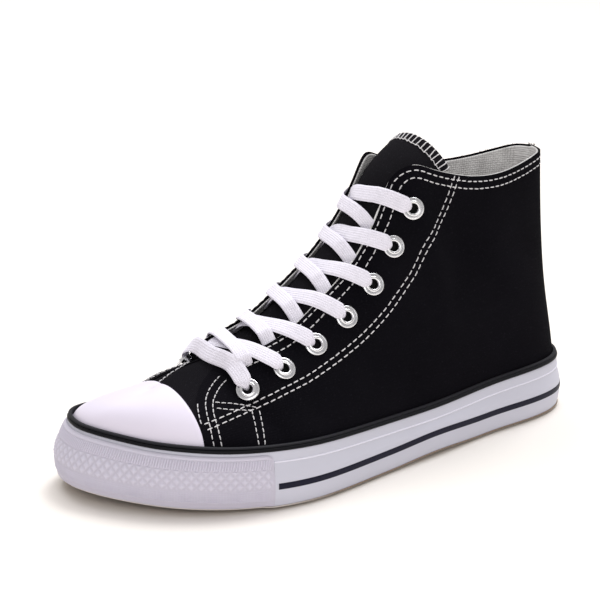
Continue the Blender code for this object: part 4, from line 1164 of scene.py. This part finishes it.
def toe_bumper():
    """Moulded band round the toe, its pattern sunk or raised in its own face."""
    run = np.linspace(-bumper_end(-1), bumper_end(1), BUMPER_COLUMNS)
    flat, out = outline(run)
    x = flat[:, 0]
    rest = foxing_foot(x)
    inner, tilt = foxing_out(x) - BUMPER_SEAT, shoulder(x) - BUMPER_SEAT
    bend = rest * 0.3 + foxing_top(x) * 0.7
    ends = bumper_end(1) - abs(run)
    turn = np.clip(1.0 - ends / BUMPER_CORNER, 0.0, 1.0)
    reach = BUMPER_TOP - 0.42 * (1.0 - np.sqrt(1.0 - turn ** 2))
    peak = tilt + (lean(x) - BUMPER_SEAT - tilt) * reach
    high = bend + (foxing_top(x) - bend) * reach
    thick = BUMPER_WALL * smoothstep(ends, -0.0006, 0.0060)
    inset, height = wall_rows(
        np.array([inner + 0.0006 - thick * 0.8, inner + 0.0002 - thick, inner - thick,
                  tilt - thick, peak - thick * 0.60]),
        np.array([rest + 0.0004, rest + 0.0040, rest + 0.0110, bend, high]), 76)
    relief = toe_relief(run, high - height)
    pairs = [*zip(inset - relief, height), (peak - thick * 0.30, high + 0.00030),
             (peak, high + 0.00034), (tilt, bend), (inner, rest + 0.0110),
             (inner + 0.0009, rest + 0.0004)]
    # painted shade: the relief's height goes into the cloth map, so the pattern's recesses are
    # toned darker than its ridges
    shade = np.full((len(pairs), len(run)), 0.0003)
    shade[:len(relief)] = relief
    uv = np.stack([np.broadcast_to(run, shade.shape), shade * RELIEF_SCALE], axis=2)
    long_piece("toe_bumper_pattern", [ring_at(flat, out, *pair) for pair in pairs],
               BUMPER_RUBBER, "white_rubber", ["toe_bumper"],
               uv=uv.transpose(1, 0, 2).reshape(-1, 2), angle=55.0)


def piping(name, corners, *looks):
    """Cord round the foxing's top edge; corners are outward step and height, mm."""
    round_piece(name, plan_rings((lean(PLAN_X) - proud * MM, foxing_top(PLAN_X) + rise * MM)
                                 for proud, rise in corners), *looks, angle=60.0)


def insole():
    """Padded insole, dished at the heel and raised under the arch."""
    inset = upper_inset(PLAN_X) + WALL + 0.0006
    base = spring(PLAN_X) + OUTSOLE_TOP + GAP
    verts = [tuple(p) for loop in plan_rings(
        (inset + step, base + INSOLE_THICK * share)
        for step, share in ((0.0, 0.0), (0.0, 0.6), (0.0005, 0.9), (0.0014, 1.0))) for p in loop]
    faces = strip_faces(4, ROUND, False)

    def dished(p, share, *_):
        arch = 0.0016 * bump_at(p[0], 0.110, 0.026) * (1.0 if share > 0.5 else 0.5)
        return p[2] + math.sin(math.pi * share) * (arch - 0.0009 * smoothstep(p[0], 0.010, 0.040))

    fill_across(verts, faces, 0, 1)
    fill_across(verts, faces, 3 * ROUND, 40, dished)
    piece("insole_cover", verts, faces, INSOLE_CLOTH, "insole_cloth", ["insole"],
          uv=np.array(verts)[:, :2], angle=50.0)


# ---- upper ----
def locate(along, rise, side):
    """Share and row of the face where it has this along and rise."""
    want = np.array([along, rise], float)
    off = ((SURFACE[PLACE[side][:, SKIRT:]][..., [0, 2]] / MM - want) ** 2).sum(axis=2)
    i, j = np.unravel_index(np.argmin(off), off.shape)
    at = np.array([i / HALF, j + SKIRT])
    for _ in range(6):
        base, by_share, by_row = (
            sample(at[0] + share, at[1] + row, side)[0][[0, 2]] / MM
            for share, row in ((0.0, 0.0), (0.5 / HALF, 0.0), (0.0, -0.5)))
        tilt = np.column_stack([(by_share - base) * HALF / 0.5, (base - by_row) / 0.5])
        if abs(np.linalg.det(tilt)) < 1e-9:
            break
        move = np.linalg.solve(tilt, want - base)
        at += np.clip(move, (-4.0 / HALF, -4.0), (4.0 / HALF, 4.0))
        at = np.clip(at, (0.0, 0.0), (1.0, ROWS - 1.0))
    return at


def quarter_front(side):
    """Share of the quarter's front edge at each row of the face."""
    spots = np.array([locate(along, rise, side) for along, rise in QUARTER_FRONT])
    spots = spots[np.argsort(spots[:, 1])]
    share = smooth(np.interp(np.arange(ROWS), spots[:, 1], spots[:, 0]), 4)
    share[-1] = max(share[-1], QUARTER_TOP_SHARE)
    return share


FRONT = {side: quarter_front(side) for side in (1, -1)}


def pierced(faces, points, reach):
    """The faces left when the holes for the eyelets are cut."""
    inside = np.zeros(len(points), bool)
    for here, out, _, _ in SEATS.values():
        off = points - here
        deep = off @ out
        aside = np.linalg.norm(off - deep[:, None] * out, axis=1)
        inside |= (aside < reach) & (abs(deep) < 0.006)
    return [face for face in faces if not inside[list(face)].any()]


def quarter(side, word, *stands_for):
    """Side panel of canvas with the eyelet stay, thread running along the shoe."""
    share = FRONT[side] + (1.0 - FRONT[side]) * np.linspace(0.0, 1.0, QUARTER_COLUMNS + 1)[:, None]
    share[-1] = 1.0
    points, normals = (grid.reshape(-1, 3) for grid in sample(share, np.arange(ROWS), side))
    faces = grid_quads(np.arange(share.size).reshape(share.shape))
    if side > 0:
        faces = [face[::-1] for face in faces]
    x, y, z = points.T
    uv = np.column_stack([x * 0.96 + z * 0.28 - side * 0.3 * y, z * 0.96 - x * 0.28])
    sheet(f"quarter_{word}", points, normals, pierced(faces, points, EYELET_HOLE), 0.0, -CLOTH,
          BLACK_CANVAS, "black_canvas", stands_for, uv=uv)


def vamp():
    """Canvas over the forefoot, its rear part under the quarters."""
    faces = [quad for quad, (side, i, j) in zip(QUADS, CELLS)
             if (i + 0.5) / HALF <= FRONT[side][j] + 0.022]
    uv = SURFACE[:, [0, 1]] + SURFACE[:, [2, 2]] * (0.0, 0.8)
    # painted light: a lighter copy of the black canvas stands for the light on the up-facing vamp
    sheet("vamp", SURFACE, NORMALS, faces, -VAMP_DROP, -VAMP_DROP - VAMP_THICK, VAMP_CANVAS_LIT,
          "black_canvas", uv=uv)


def lining():
    """Pale cloth inside, a little lower than the canvas along the collar's back."""
    uv = np.column_stack([SURFACE[:, 0] + 0.4 * SURFACE[:, 1], SURFACE[:, 2]])
    lowered = SURFACE.copy()
    drop = LINING_DROP * smoothstep(SHARES, *COLLAR) + 0.0002
    lift = (0.00045 * smoothstep(SHARES, 0.345, 0.375) * smoothstep(SHARES, 0.603, 0.588)
            + 0.00065 * smoothstep(SHARES, 0.652, 0.664))[:, None]
    for side, index in PLACE.items():
        for i in range(RIDGE_END + 1, HALF + 1):
            down = SURFACE[index[i, ::-1]]
            run = lengths(down)
            want = np.maximum(run, drop[i] + 0.00025 * np.arange(len(run)))
            lowered[index[i, ::-1]] = along_line(down, run, np.minimum(want, run[-1]))
        if side > 0:
            up = unit(SURFACE[index[:, -1]] - SURFACE[index[:, -3]])
            lowered[index[:, -1]] += up * lift * 1.3
            lowered[index[:, -2]] += up * lift * 0.6
    sheet("lining", lowered, NORMALS, pierced(QUADS, SURFACE, EYELET_HOLE + 0.0002),
          -LINING_TOP, -WALL - 0.0001, LINING, "insole_cloth", bulge=1.2, uv=uv)


def toe_cap():
    """Moulded cap over the toe with a rounded rear edge."""
    bm = bmesh.new()
    spots = {}
    for quad, (_, i, j) in zip(QUADS, CELLS):
        if j and i <= HALF * 0.45 and SURFACE[list(quad), 0].max() >= TOE_CAP_REAR:
            for k in quad:
                if k not in spots:
                    spots[k] = bm.verts.new(SURFACE[k])
            bm.faces.new([spots[k] for k in quad[::-1]])
    cuts = [((TOE_CAP_REAR + step, 0, 0.048), CAP_CUT, step == 0.0)
            for step in (0.0, 0.00006, 0.00025, 0.0006, 0.0011, CAP_ROUND)]
    for place, way, clear in cuts + [((0, 0, TOE_CAP_FOOT), (0, 0, 1), True)]:
        bmesh.ops.bisect_plane(bm, geom=bm.verts[:] + bm.edges[:] + bm.faces[:], dist=1e-7,
                               plane_co=place, plane_no=way, clear_inner=clear)
    bm.verts.index_update()
    points = np.array([v.co[:] for v in bm.verts])
    faces = [tuple(v.index for v in f.verts)[::-1] for f in bm.faces]
    bm.free()
    inside = (points - (TOE_CAP_REAR, 0.0, 0.048)) @ np.array(CAP_CUT)
    inside = np.clip(inside / CAP_ROUND, 0.0, 1.0)
    thick = TOE_CAP_WALL * np.sqrt(1.0 - (1.0 - inside) ** 2)
    sheet("toe_cap_shell", points, laid(points)[1], faces, GAP + 0.0001 + thick, -VAMP_DROP,
          CAP_RUBBER, "cap_rubber", ["toe_cap"], bulge=0.0, angle=70.0)


def tongue():
    """Thick cloth tongue under the laces."""
    across = np.linspace(-0.025, 0.025, TONGUE_COLUMNS + 1)
    uv = np.column_stack([np.tile(across, TONGUE_ROWS + 1), np.repeat(TONGUE_RUN, len(across))])
    sheet("tongue_cloth", TONGUE_GRID.reshape(-1, 3), TONGUE_OUT.reshape(-1, 3), TONGUE_FACES,
          0.0, -TONGUE_THICK, TONGUE_CANVAS, "tongue_canvas", ["tongue"], uv=uv)


def on_tongue(across, down, lift=0.0):
    """Point over the tongue, a share across and a length below its top edge, and the way out."""
    row = np.interp(TONGUE_RUN[-1] - down, TONGUE_RUN, np.arange(len(TONGUE_RUN)))
    column = (across + 1.0) / 2.0 * TONGUE_COLUMNS
    out = unit(mixed(TONGUE_OUT, row, column))
    return mixed(TONGUE_GRID, row, column) + out * lift, out


def tongue_overlock():
    """White thread whipped over the tongue's top edge, and its lower chain."""
    draw = np.random.default_rng(11)
    parts, chain = [], []
    for k in range(OVERLOCK_LOOPS):
        across = -0.985 + OVERLOCK_SPAN * k / (OVERLOCK_LOOPS - 1)
        deep = OVERLOCK_DEEP + 0.0003 * draw.uniform(-1, 1)
        slip = 0.030 + 0.018 * draw.uniform(-1, 1)
        line = [on_tongue(min(1.0, across + slip * down / deep), down, 0.00024)[0]
                for down in np.linspace(deep, 0.0003, 6)]
        over, out = on_tongue(across, 0.0)
        up = unit(over - on_tongue(across, 0.002)[0])
        line += [over + up * 0.00135 - out * TONGUE_THICK * 0.45,
                 over + up * 0.0001 - out * (TONGUE_THICK + 0.00025),
                 on_tongue(across - 0.03, 0.0030, -TONGUE_THICK - 0.00025)[0]]
        parts.append(tube(line, OVERLOCK_THREAD))
        chain.append(on_tongue(min(1.0, across + slip), deep, 0.00028)[0])
        if k < OVERLOCK_LOOPS - 1:
            middle = across + OVERLOCK_SPAN / (OVERLOCK_LOOPS - 1) * 0.5
            low = deep - 0.0005 + 0.0002 * draw.uniform(-1, 1)
            chain.append(on_tongue(middle, low, 0.00030)[0])
    parts.append(tube(chain, 0.00020))
    piece("tongue_overlock", *joined(parts), WHITE_THREAD, "lace_cotton")


# ---- stitches ----
def stitches(line, normals, draw, pitch, dash, width):
    """Row of short threads along a line on the cloth, their ends sunk in it."""
    run = lengths(line)
    count = int(run[-1] / pitch)
    centre = (np.arange(count) + 0.5) * (run[-1] / count) + draw.uniform(-1, 1, count) * 0.00012
    u = np.array([-1.0, -0.72, 0.0, 0.72, 1.0])
    at = np.clip(centre[:, None] + u * dash / 2.0, 0.0, run[-1])
    spot = along_line(line, run, at)
    out = unit(along_line(normals, run, at))
    way = unit(spot[:, 4] - spot[:, 0])[:, None]
    across = unit(np.cross(out, np.broadcast_to(way, out.shape)))
    spot = spot + across * (draw.uniform(-1, 1, count) * 0.00005)[:, None, None]
    spot = spot + across * (u * draw.uniform(-1, 1, count)[:, None] * 0.00009)[..., None]
    rise = np.array([-0.00022, 0.00012, 0.00020, 0.00012, -0.00022])
    thick = np.array([0.45, 0.92, 1.0, 0.92, 0.45])[:, None] * width
    turn = circle(6)
    ring = ((spot + out * rise[:, None])[:, :, None]
            + across[:, :, None] * (thick * np.cos(turn))[..., None]
            + out[:, :, None] * (thick * np.sin(turn) * 0.85)[..., None])
    return joined([(one.reshape(-1, 3), capped(5, 6)) for one in ring])


def seam_rows(side):
    """Rows of a side, each its line and the ways out and the form of its stitches."""
    stay = seam_line(EYESTAY_SEAM, side)
    rows = [(stay, STITCH), (beside(*stay, EYESTAY_APART * side), STITCH)]
    rows += [(seam_line(spots, side), FINE_STITCH) for spots in SEAMS]
    if side < 0:
        line = [SMOOTH_FACE.ray_cast((along * MM, across * MM, 0.12), (0, 0, -1))[0]
                for along, across in VAMP_TOP_ROW]
        rows.append((laid(even(np.array(line))), FINE_STITCH))
    rows.append((rim_line(0.345, side, 0.0018, 0.0005), STITCH))
    rows.append((rim_line(0.352, side, 0.0060, -0.0003), STITCH))
    back = sample(HEEL_ROW, np.linspace(ROWS - 3, SKIRT + 2, 60), side)[0]
    return rows + [(laid(even(back)), STITCH)]


def all_stitches():
    """White sewing of each side in one piece."""
    draw = np.random.default_rng(5)
    for side, word in ((1, "lateral"), (-1, "medial")):
        parts = [stitches(*row, draw, *form) for row, form in seam_rows(side)]
        piece(f"stitches_{word}", *joined(parts), WHITE_THREAD, "lace_cotton")


# ---- eyelets ----
def eyelets(name, profile, *looks):
    """Rings turned from a profile of radius and height at every eyelet."""
    turn = circle(44)[:, None]
    parts = []
    for here, out, up, _ in SEATS.values():
        across = np.cross(up, out)
        rings = [here + out * height * MM
                 + radius * MM * (up * np.cos(turn) + across * np.sin(turn))
                 for radius, height in profile]
        parts.append((np.vstack(rings), strip_faces(len(profile), 44)))
    piece(name, *joined(parts), *looks, angle=50.0)


# ---- laces ----
def lace_band(path, normals, widths, cups):
    """Points, faces and lie of the cloth of a flat lace, softly rounded at its edges."""
    share = np.r_[np.linspace(-1, 1, 15), np.linspace(1, -1, 15)[1:-1]]
    face = np.r_[np.ones(15), -np.ones(13)] * np.sqrt(np.clip(1.0 - abs(share) ** 5, 0.0, 1.0))
    across = unit(np.cross(heading(path), normals))[:, None]
    up = unit(np.cross(across[:, 0], heading(path)))[:, None]
    y = share * widths[:, None] / 2.0
    z = face * LACE_THICK / 2.0 + cups[:, None] * share ** 2
    uv = np.stack(np.broadcast_arrays(lengths(path)[:, None], share * LACE_WIDTH / 2.0), axis=2)
    verts = path[:, None] + across * y[..., None] + up * z[..., None]
    return verts.reshape(-1, 3), capped(*y.shape), uv.reshape(-1, 2)


def rest_on(path, normals, *trees):
    """Line of a lace raised along its normals until it clears the cloth below."""
    across = unit(np.cross(heading(path), normals))
    raised = np.zeros(len(path))
    for i, off, tree in itertools.product(range(len(path)), (-0.45, -0.2, 0.0, 0.2, 0.45), trees):
        spot = path[i] + across[i] * off * LACE_WIDTH
        near, _, _, away = tree.find_nearest(spot)
        if away < 0.004:
            raised[i] = max(raised[i], LACE_ROOM - (spot - np.array(near)) @ normals[i])
    return path + normals * smooth(raised, 6, True)[:, None]


def lift_over(path, norms, other):
    """Raise a lace where it passes over another."""
    across = unit(np.cross(heading(path), norms))
    lack = np.zeros(len(path))
    for off in (-0.45, -0.15, 0.15, 0.45):
        gap = other[None] - (path + across * off * LACE_WIDTH)[:, None]
        high = (gap * norms[:, None]).sum(axis=2)
        aside = np.linalg.norm(gap - high[..., None] * norms[:, None], axis=2)
        high = np.where(aside < LACE_WIDTH * 0.5, high, -1.0).max(axis=1)
        lack = np.maximum(lack, high + LACE_THICK + 0.0001)
    lack[-LACE_STEPS // 5:] = 0.0
    return path + norms * smooth(lack, 30, True)[:, None]


def into_eyelet(here, out, edge):
    """Way from an edge, and the last knots: over the ring's near side, down its bore."""
    toward = unit(here - edge)
    toward = unit(toward - out * (toward @ out))
    knots = [here - toward * back * MM + out * up * MM for back, up in LACE_BEND]
    norms = [out, unit(out * 0.8 + toward * 0.4), unit(out + toward), toward, toward]
    return toward, knots, norms


def lace_line(knots, norms, steps):
    """Points and ways out along a lace, their length run, and that of the knots."""
    run = lengths(np.array(knots))
    at = np.linspace(0.0, run[-1], steps)
    return spline(run, knots, at), unit(spline(run, norms, at)), at, run


def strand(k, side, lift):
    """Lace from under the throat's edge of a side to the next eyelet, opposite."""
    far = -side
    fan = LACE_FAN * (k - 2.5) ** 3 * (side < 0)
    leave, meet = (SEATS[k, foot][3] + (SEATS[k + 1, foot][3] - SEATS[k, foot][3])
                   * (level + fan) for foot, level in ((side, LACE_LEAVES[side]),
                                                       (far, LACE_MEETS[far])))
    end, n_end, _, _ = SEATS[k + 1, far]
    edge_low, edge_high = off_edge(leave, side, 0.0), off_edge(meet - 0.002, far, 0.0)
    under, n_under = on_face(off_edge(leave - 0.006, side, 0.0065))
    rim = off_edge(meet, far, 0.0020)
    n_rim = on_face(rim)[1]
    up = unit(n_rim * (1, 0, 1))
    crown = 0.5 + LACE_CROWN_SIDE * side
    toward, last, last_norms = into_eyelet(end, n_end, rim)
    knots = [under - n_under * (WALL + 0.0010),
             edge_low + unit(edge_high - edge_low) * 0.0040 + up * 0.0001,
             edge_low * (1.0 - crown) + edge_high * crown + up * (LACE_CROWN[side] + lift),
             rim + n_rim * LACE_RIM[far],
             (rim + end) / 2 - toward * 0.0006 + unit(n_rim + n_end) * LACE_HALF_WAY[far]]
    path, norms, at, run = lace_line(
        knots + last, [n_under, up, up, n_rim, n_end] + last_norms, LACE_STEPS)
    part = (at > run[1]) & (at < run[5])
    fade = smoothstep(at[part], run[1], run[1] + 0.004)[:, None]
    path[part] = path[part] * (1 - fade) + rest_on(path[part], norms[part], TONGUE_TREE) * fade
    part = (at > run[2] + 0.004) & (at < run[5])
    path[part] = rest_on(path[part], norms[part], FACE)
    width = LACE_WIDTH - 0.0010 * (side > 0) * smoothstep(run[4] - at, 0.0, 0.010)
    width -= LACE_EAR * smoothstep(at, run[5] - 0.0010, run[7])
    width -= LACE_NECK * smoothstep(at, run[7] - 0.0006, run[8])
    return path, norms, width, LACE_CUP * smoothstep(at, run[5] - 0.002, run[7])


def laces():
    """Six crossing pairs, the lace from the lateral side on top."""
    for k in range(len(EYELETS) - 1):
        under, over = strand(k, -1, 0.0), strand(k, 1, CROSS_LIFT)
        over = (lift_over(*over[:2], under[0]), *over[1:])
        verts, faces, uv = joined([lace_band(*over), lace_band(*under)])
        piece(f"lace_pair_{k + 1}", verts, faces, LACE_COTTON, "lace_cotton",
              [f"lace_cross_{k + 1}"], uv=uv, angle=60.0)


def lace_bar():
    """Lace across the throat's foot, between the first two eyelets."""
    foot = top_point(THROAT_FOOT, 1)[0] * (1.0, 0.0, 1.0) + (0.0, throat_centre(202.0) * MM, 0.0)
    ends = []
    for here, out, _, _ in (SEATS[0, 1], SEATS[0, -1]):
        rim, n_rim = on_face(here * 0.60 + foot * 0.40 + (-0.0012, 0.0, 0.0040))
        _, knots, norms = into_eyelet(here, out, rim)
        ends.append(([rim + n_rim * 0.0026] + knots, [n_rim] + norms))
    (near, n_near), (far, n_far) = ends
    crown = unit(n_near[0] + n_far[0])
    path, norms, at, run = lace_line(near[::-1] + [foot + crown * BAR_CROWN] + far,
                                     n_near[::-1] + [crown] + n_far, 96)
    middle = (at > run[4]) & (at < run[8])
    path[middle] = rest_on(path[middle], norms[middle], FACE, TONGUE_TREE)
    left = np.minimum(at, run[-1] - at)
    width = LACE_WIDTH - (LACE_EAR + LACE_NECK) * smoothstep(left, run[4] + 0.0010, run[2] - 0.0010)
    cup = LACE_CUP * smoothstep(left, run[4] + 0.002, run[2])
    verts, faces, uv = lace_band(path, norms, width, cup)
    piece("lace_front_bar", verts, faces, LACE_COTTON, "lace_cotton", ["lace_bar"], uv=uv,
          angle=60.0)


# ---- loose ends ----
def loose_threads():
    """Short frayed ends along the back of the collar."""
    draw = np.random.default_rng(3)
    tufts = [(0.9965 + 0.003 * draw.uniform(-1, 1), 1 if k % 2 else -1, draw.uniform(0.5, 1.3))
             for k in range(14)]
    tufts += [(draw.uniform(0.80, 0.98), -1, draw.uniform(0.4, 0.9)) for _ in range(22)]
    t = np.linspace(0.0, 1.0, 9)[:, None]
    parts = []
    for share, side, reach in tufts:
        here = top_point(share, side)[0] - (0.0, 0.0, 0.0002)
        way = unit(np.array([-0.5 + 0.6 * draw.uniform(-1, 1), 0.5 * draw.uniform(-1, 1), 1.0]))
        bend = draw.uniform(-1, 1, 3) * (1.0, 1.0, 0.2)
        parts.append(tube(here + (way * t + bend * t ** 2 * 0.5) * reach * MM, 0.00011, 5))
    piece("loose_threads", *joined(parts), BLACK_THREAD, "black_canvas")


# ---- setting ----
def stand(name, data):
    """New object of the setting in the scene."""
    ob = bpy.data.objects.new(name, data)
    bpy.context.scene.collection.objects.link(ob)
    return ob


def camera():
    """View over the lateral side of the toe, turned, raised and a little rolled."""
    turned = (Matrix.Rotation(math.radians(VIEW_TURN), 4, "Z")
              @ Matrix.Rotation(math.radians(90.0 - VIEW_RISE), 4, "X")
              @ Matrix.Rotation(math.radians(VIEW_ROLL), 4, "Z"))
    data = bpy.data.cameras.new("camera")
    data.sensor_width = 36.0
    data.lens = VIEW_LENS
    data.clip_start = 0.01
    ob = stand("camera", data)
    ob.matrix_world = (Matrix.Translation(np.array(VIEW_CENTRE) + OFFSET) @ turned
                       @ Matrix.Translation((VIEW_RIGHT, VIEW_UP, VIEW_DISTANCE)))
    bpy.context.scene.camera = ob


def light(name, kind, place, aim, energy, **settings):
    """Light at a place, facing its aim."""
    data = bpy.data.lights.new(name, kind)
    data.energy = energy
    for key, value in settings.items():
        setattr(data, key, value)
    ob = stand(name, data)
    ob.location = place
    ob.rotation_euler = (Vector(aim) - Vector(place)).to_track_quat("-Z", "Y").to_euler()


def studio():
    """White paper floor under even light."""
    scene = bpy.context.scene
    scene.view_settings.view_transform = "Standard"
    world = bpy.data.worlds.new("studio")
    world.use_nodes = True
    back_cloth = world.node_tree.nodes["Background"].inputs
    back_cloth["Color"].default_value = (1.0, 0.975, 0.955, 1.0)
    back_cloth["Strength"].default_value = 0.53
    scene.world = world
    light("top_light", "AREA", (-0.10, -0.60, 1.20), (0.0, 0.0, 0.04), 8.0, shape="DISK",
          size=1.2)
    light("front_light", "AREA", (0.70, 1.00, 0.70), (0.0, 0.0, 0.05), 4.2, shape="DISK",
          size=0.9)
    light("even_light", "SUN", (-0.55, -0.15, 0.92), (0.0, 0.0, 0.0), 1.85, angle=0.55,
          color=(0.97, 0.985, 1.0))
    mesh = bpy.data.meshes.new("floor")
    mesh.from_pydata([(-5, -5, 0), (5, -5, 0), (5, 5, 0), (-5, 5, 0)], [], [(0, 1, 2, 3)])
    mat, g, shader = material("floor_paper", (0.92, 0.88, 0.84), 0.9, 0.0)
    g.feed(shader["Base Color"], g.mix(g.noise(g.place(), 3.0), (0.92, 0.88, 0.84),
                                       (0.93, 0.89, 0.85)))
    mesh.materials.append(mat)
    floor = stand("floor", mesh)


camera()
studio()
outsole()
foxing()
band_on_foxing("foxing_stripe", STRIPE_FORM, STRIPE_RUBBER, "black_rubber", 0.0016)
# the line's whiter rubber is a painted highlight
band_on_foxing("foxing_line", LINE_FORM, LINE_RUBBER_LIT, "white_rubber", 0.0002, from_top=True)
toe_bumper()
piping("piping_bead", PIPING_BEAD, PIPING_RUBBER, "black_rubber", ["piping"])
piping("piping_edge", PIPING_EDGE, EDGE_RUBBER, "black_rubber")
insole()
quarter(1, "lateral", "upper")
quarter(-1, "medial")
vamp()
lining()
toe_cap()
tongue()
tongue_overlock()
all_stitches()
eyelets("eyelet_rings", EYELET_PROFILE, EYELET_METAL, "eyelet_metal",
        [f"eyelet_{word}_{k + 1}" for word in ("lateral", "medial") for k in range(len(EYELETS))])
# the barrels carry painted shade, dark inside the holes
eyelets("eyelet_barrels", BARREL_PROFILE, BARREL_SHADE, "eyelet_metal")
laces()
lace_bar()
loose_threads()
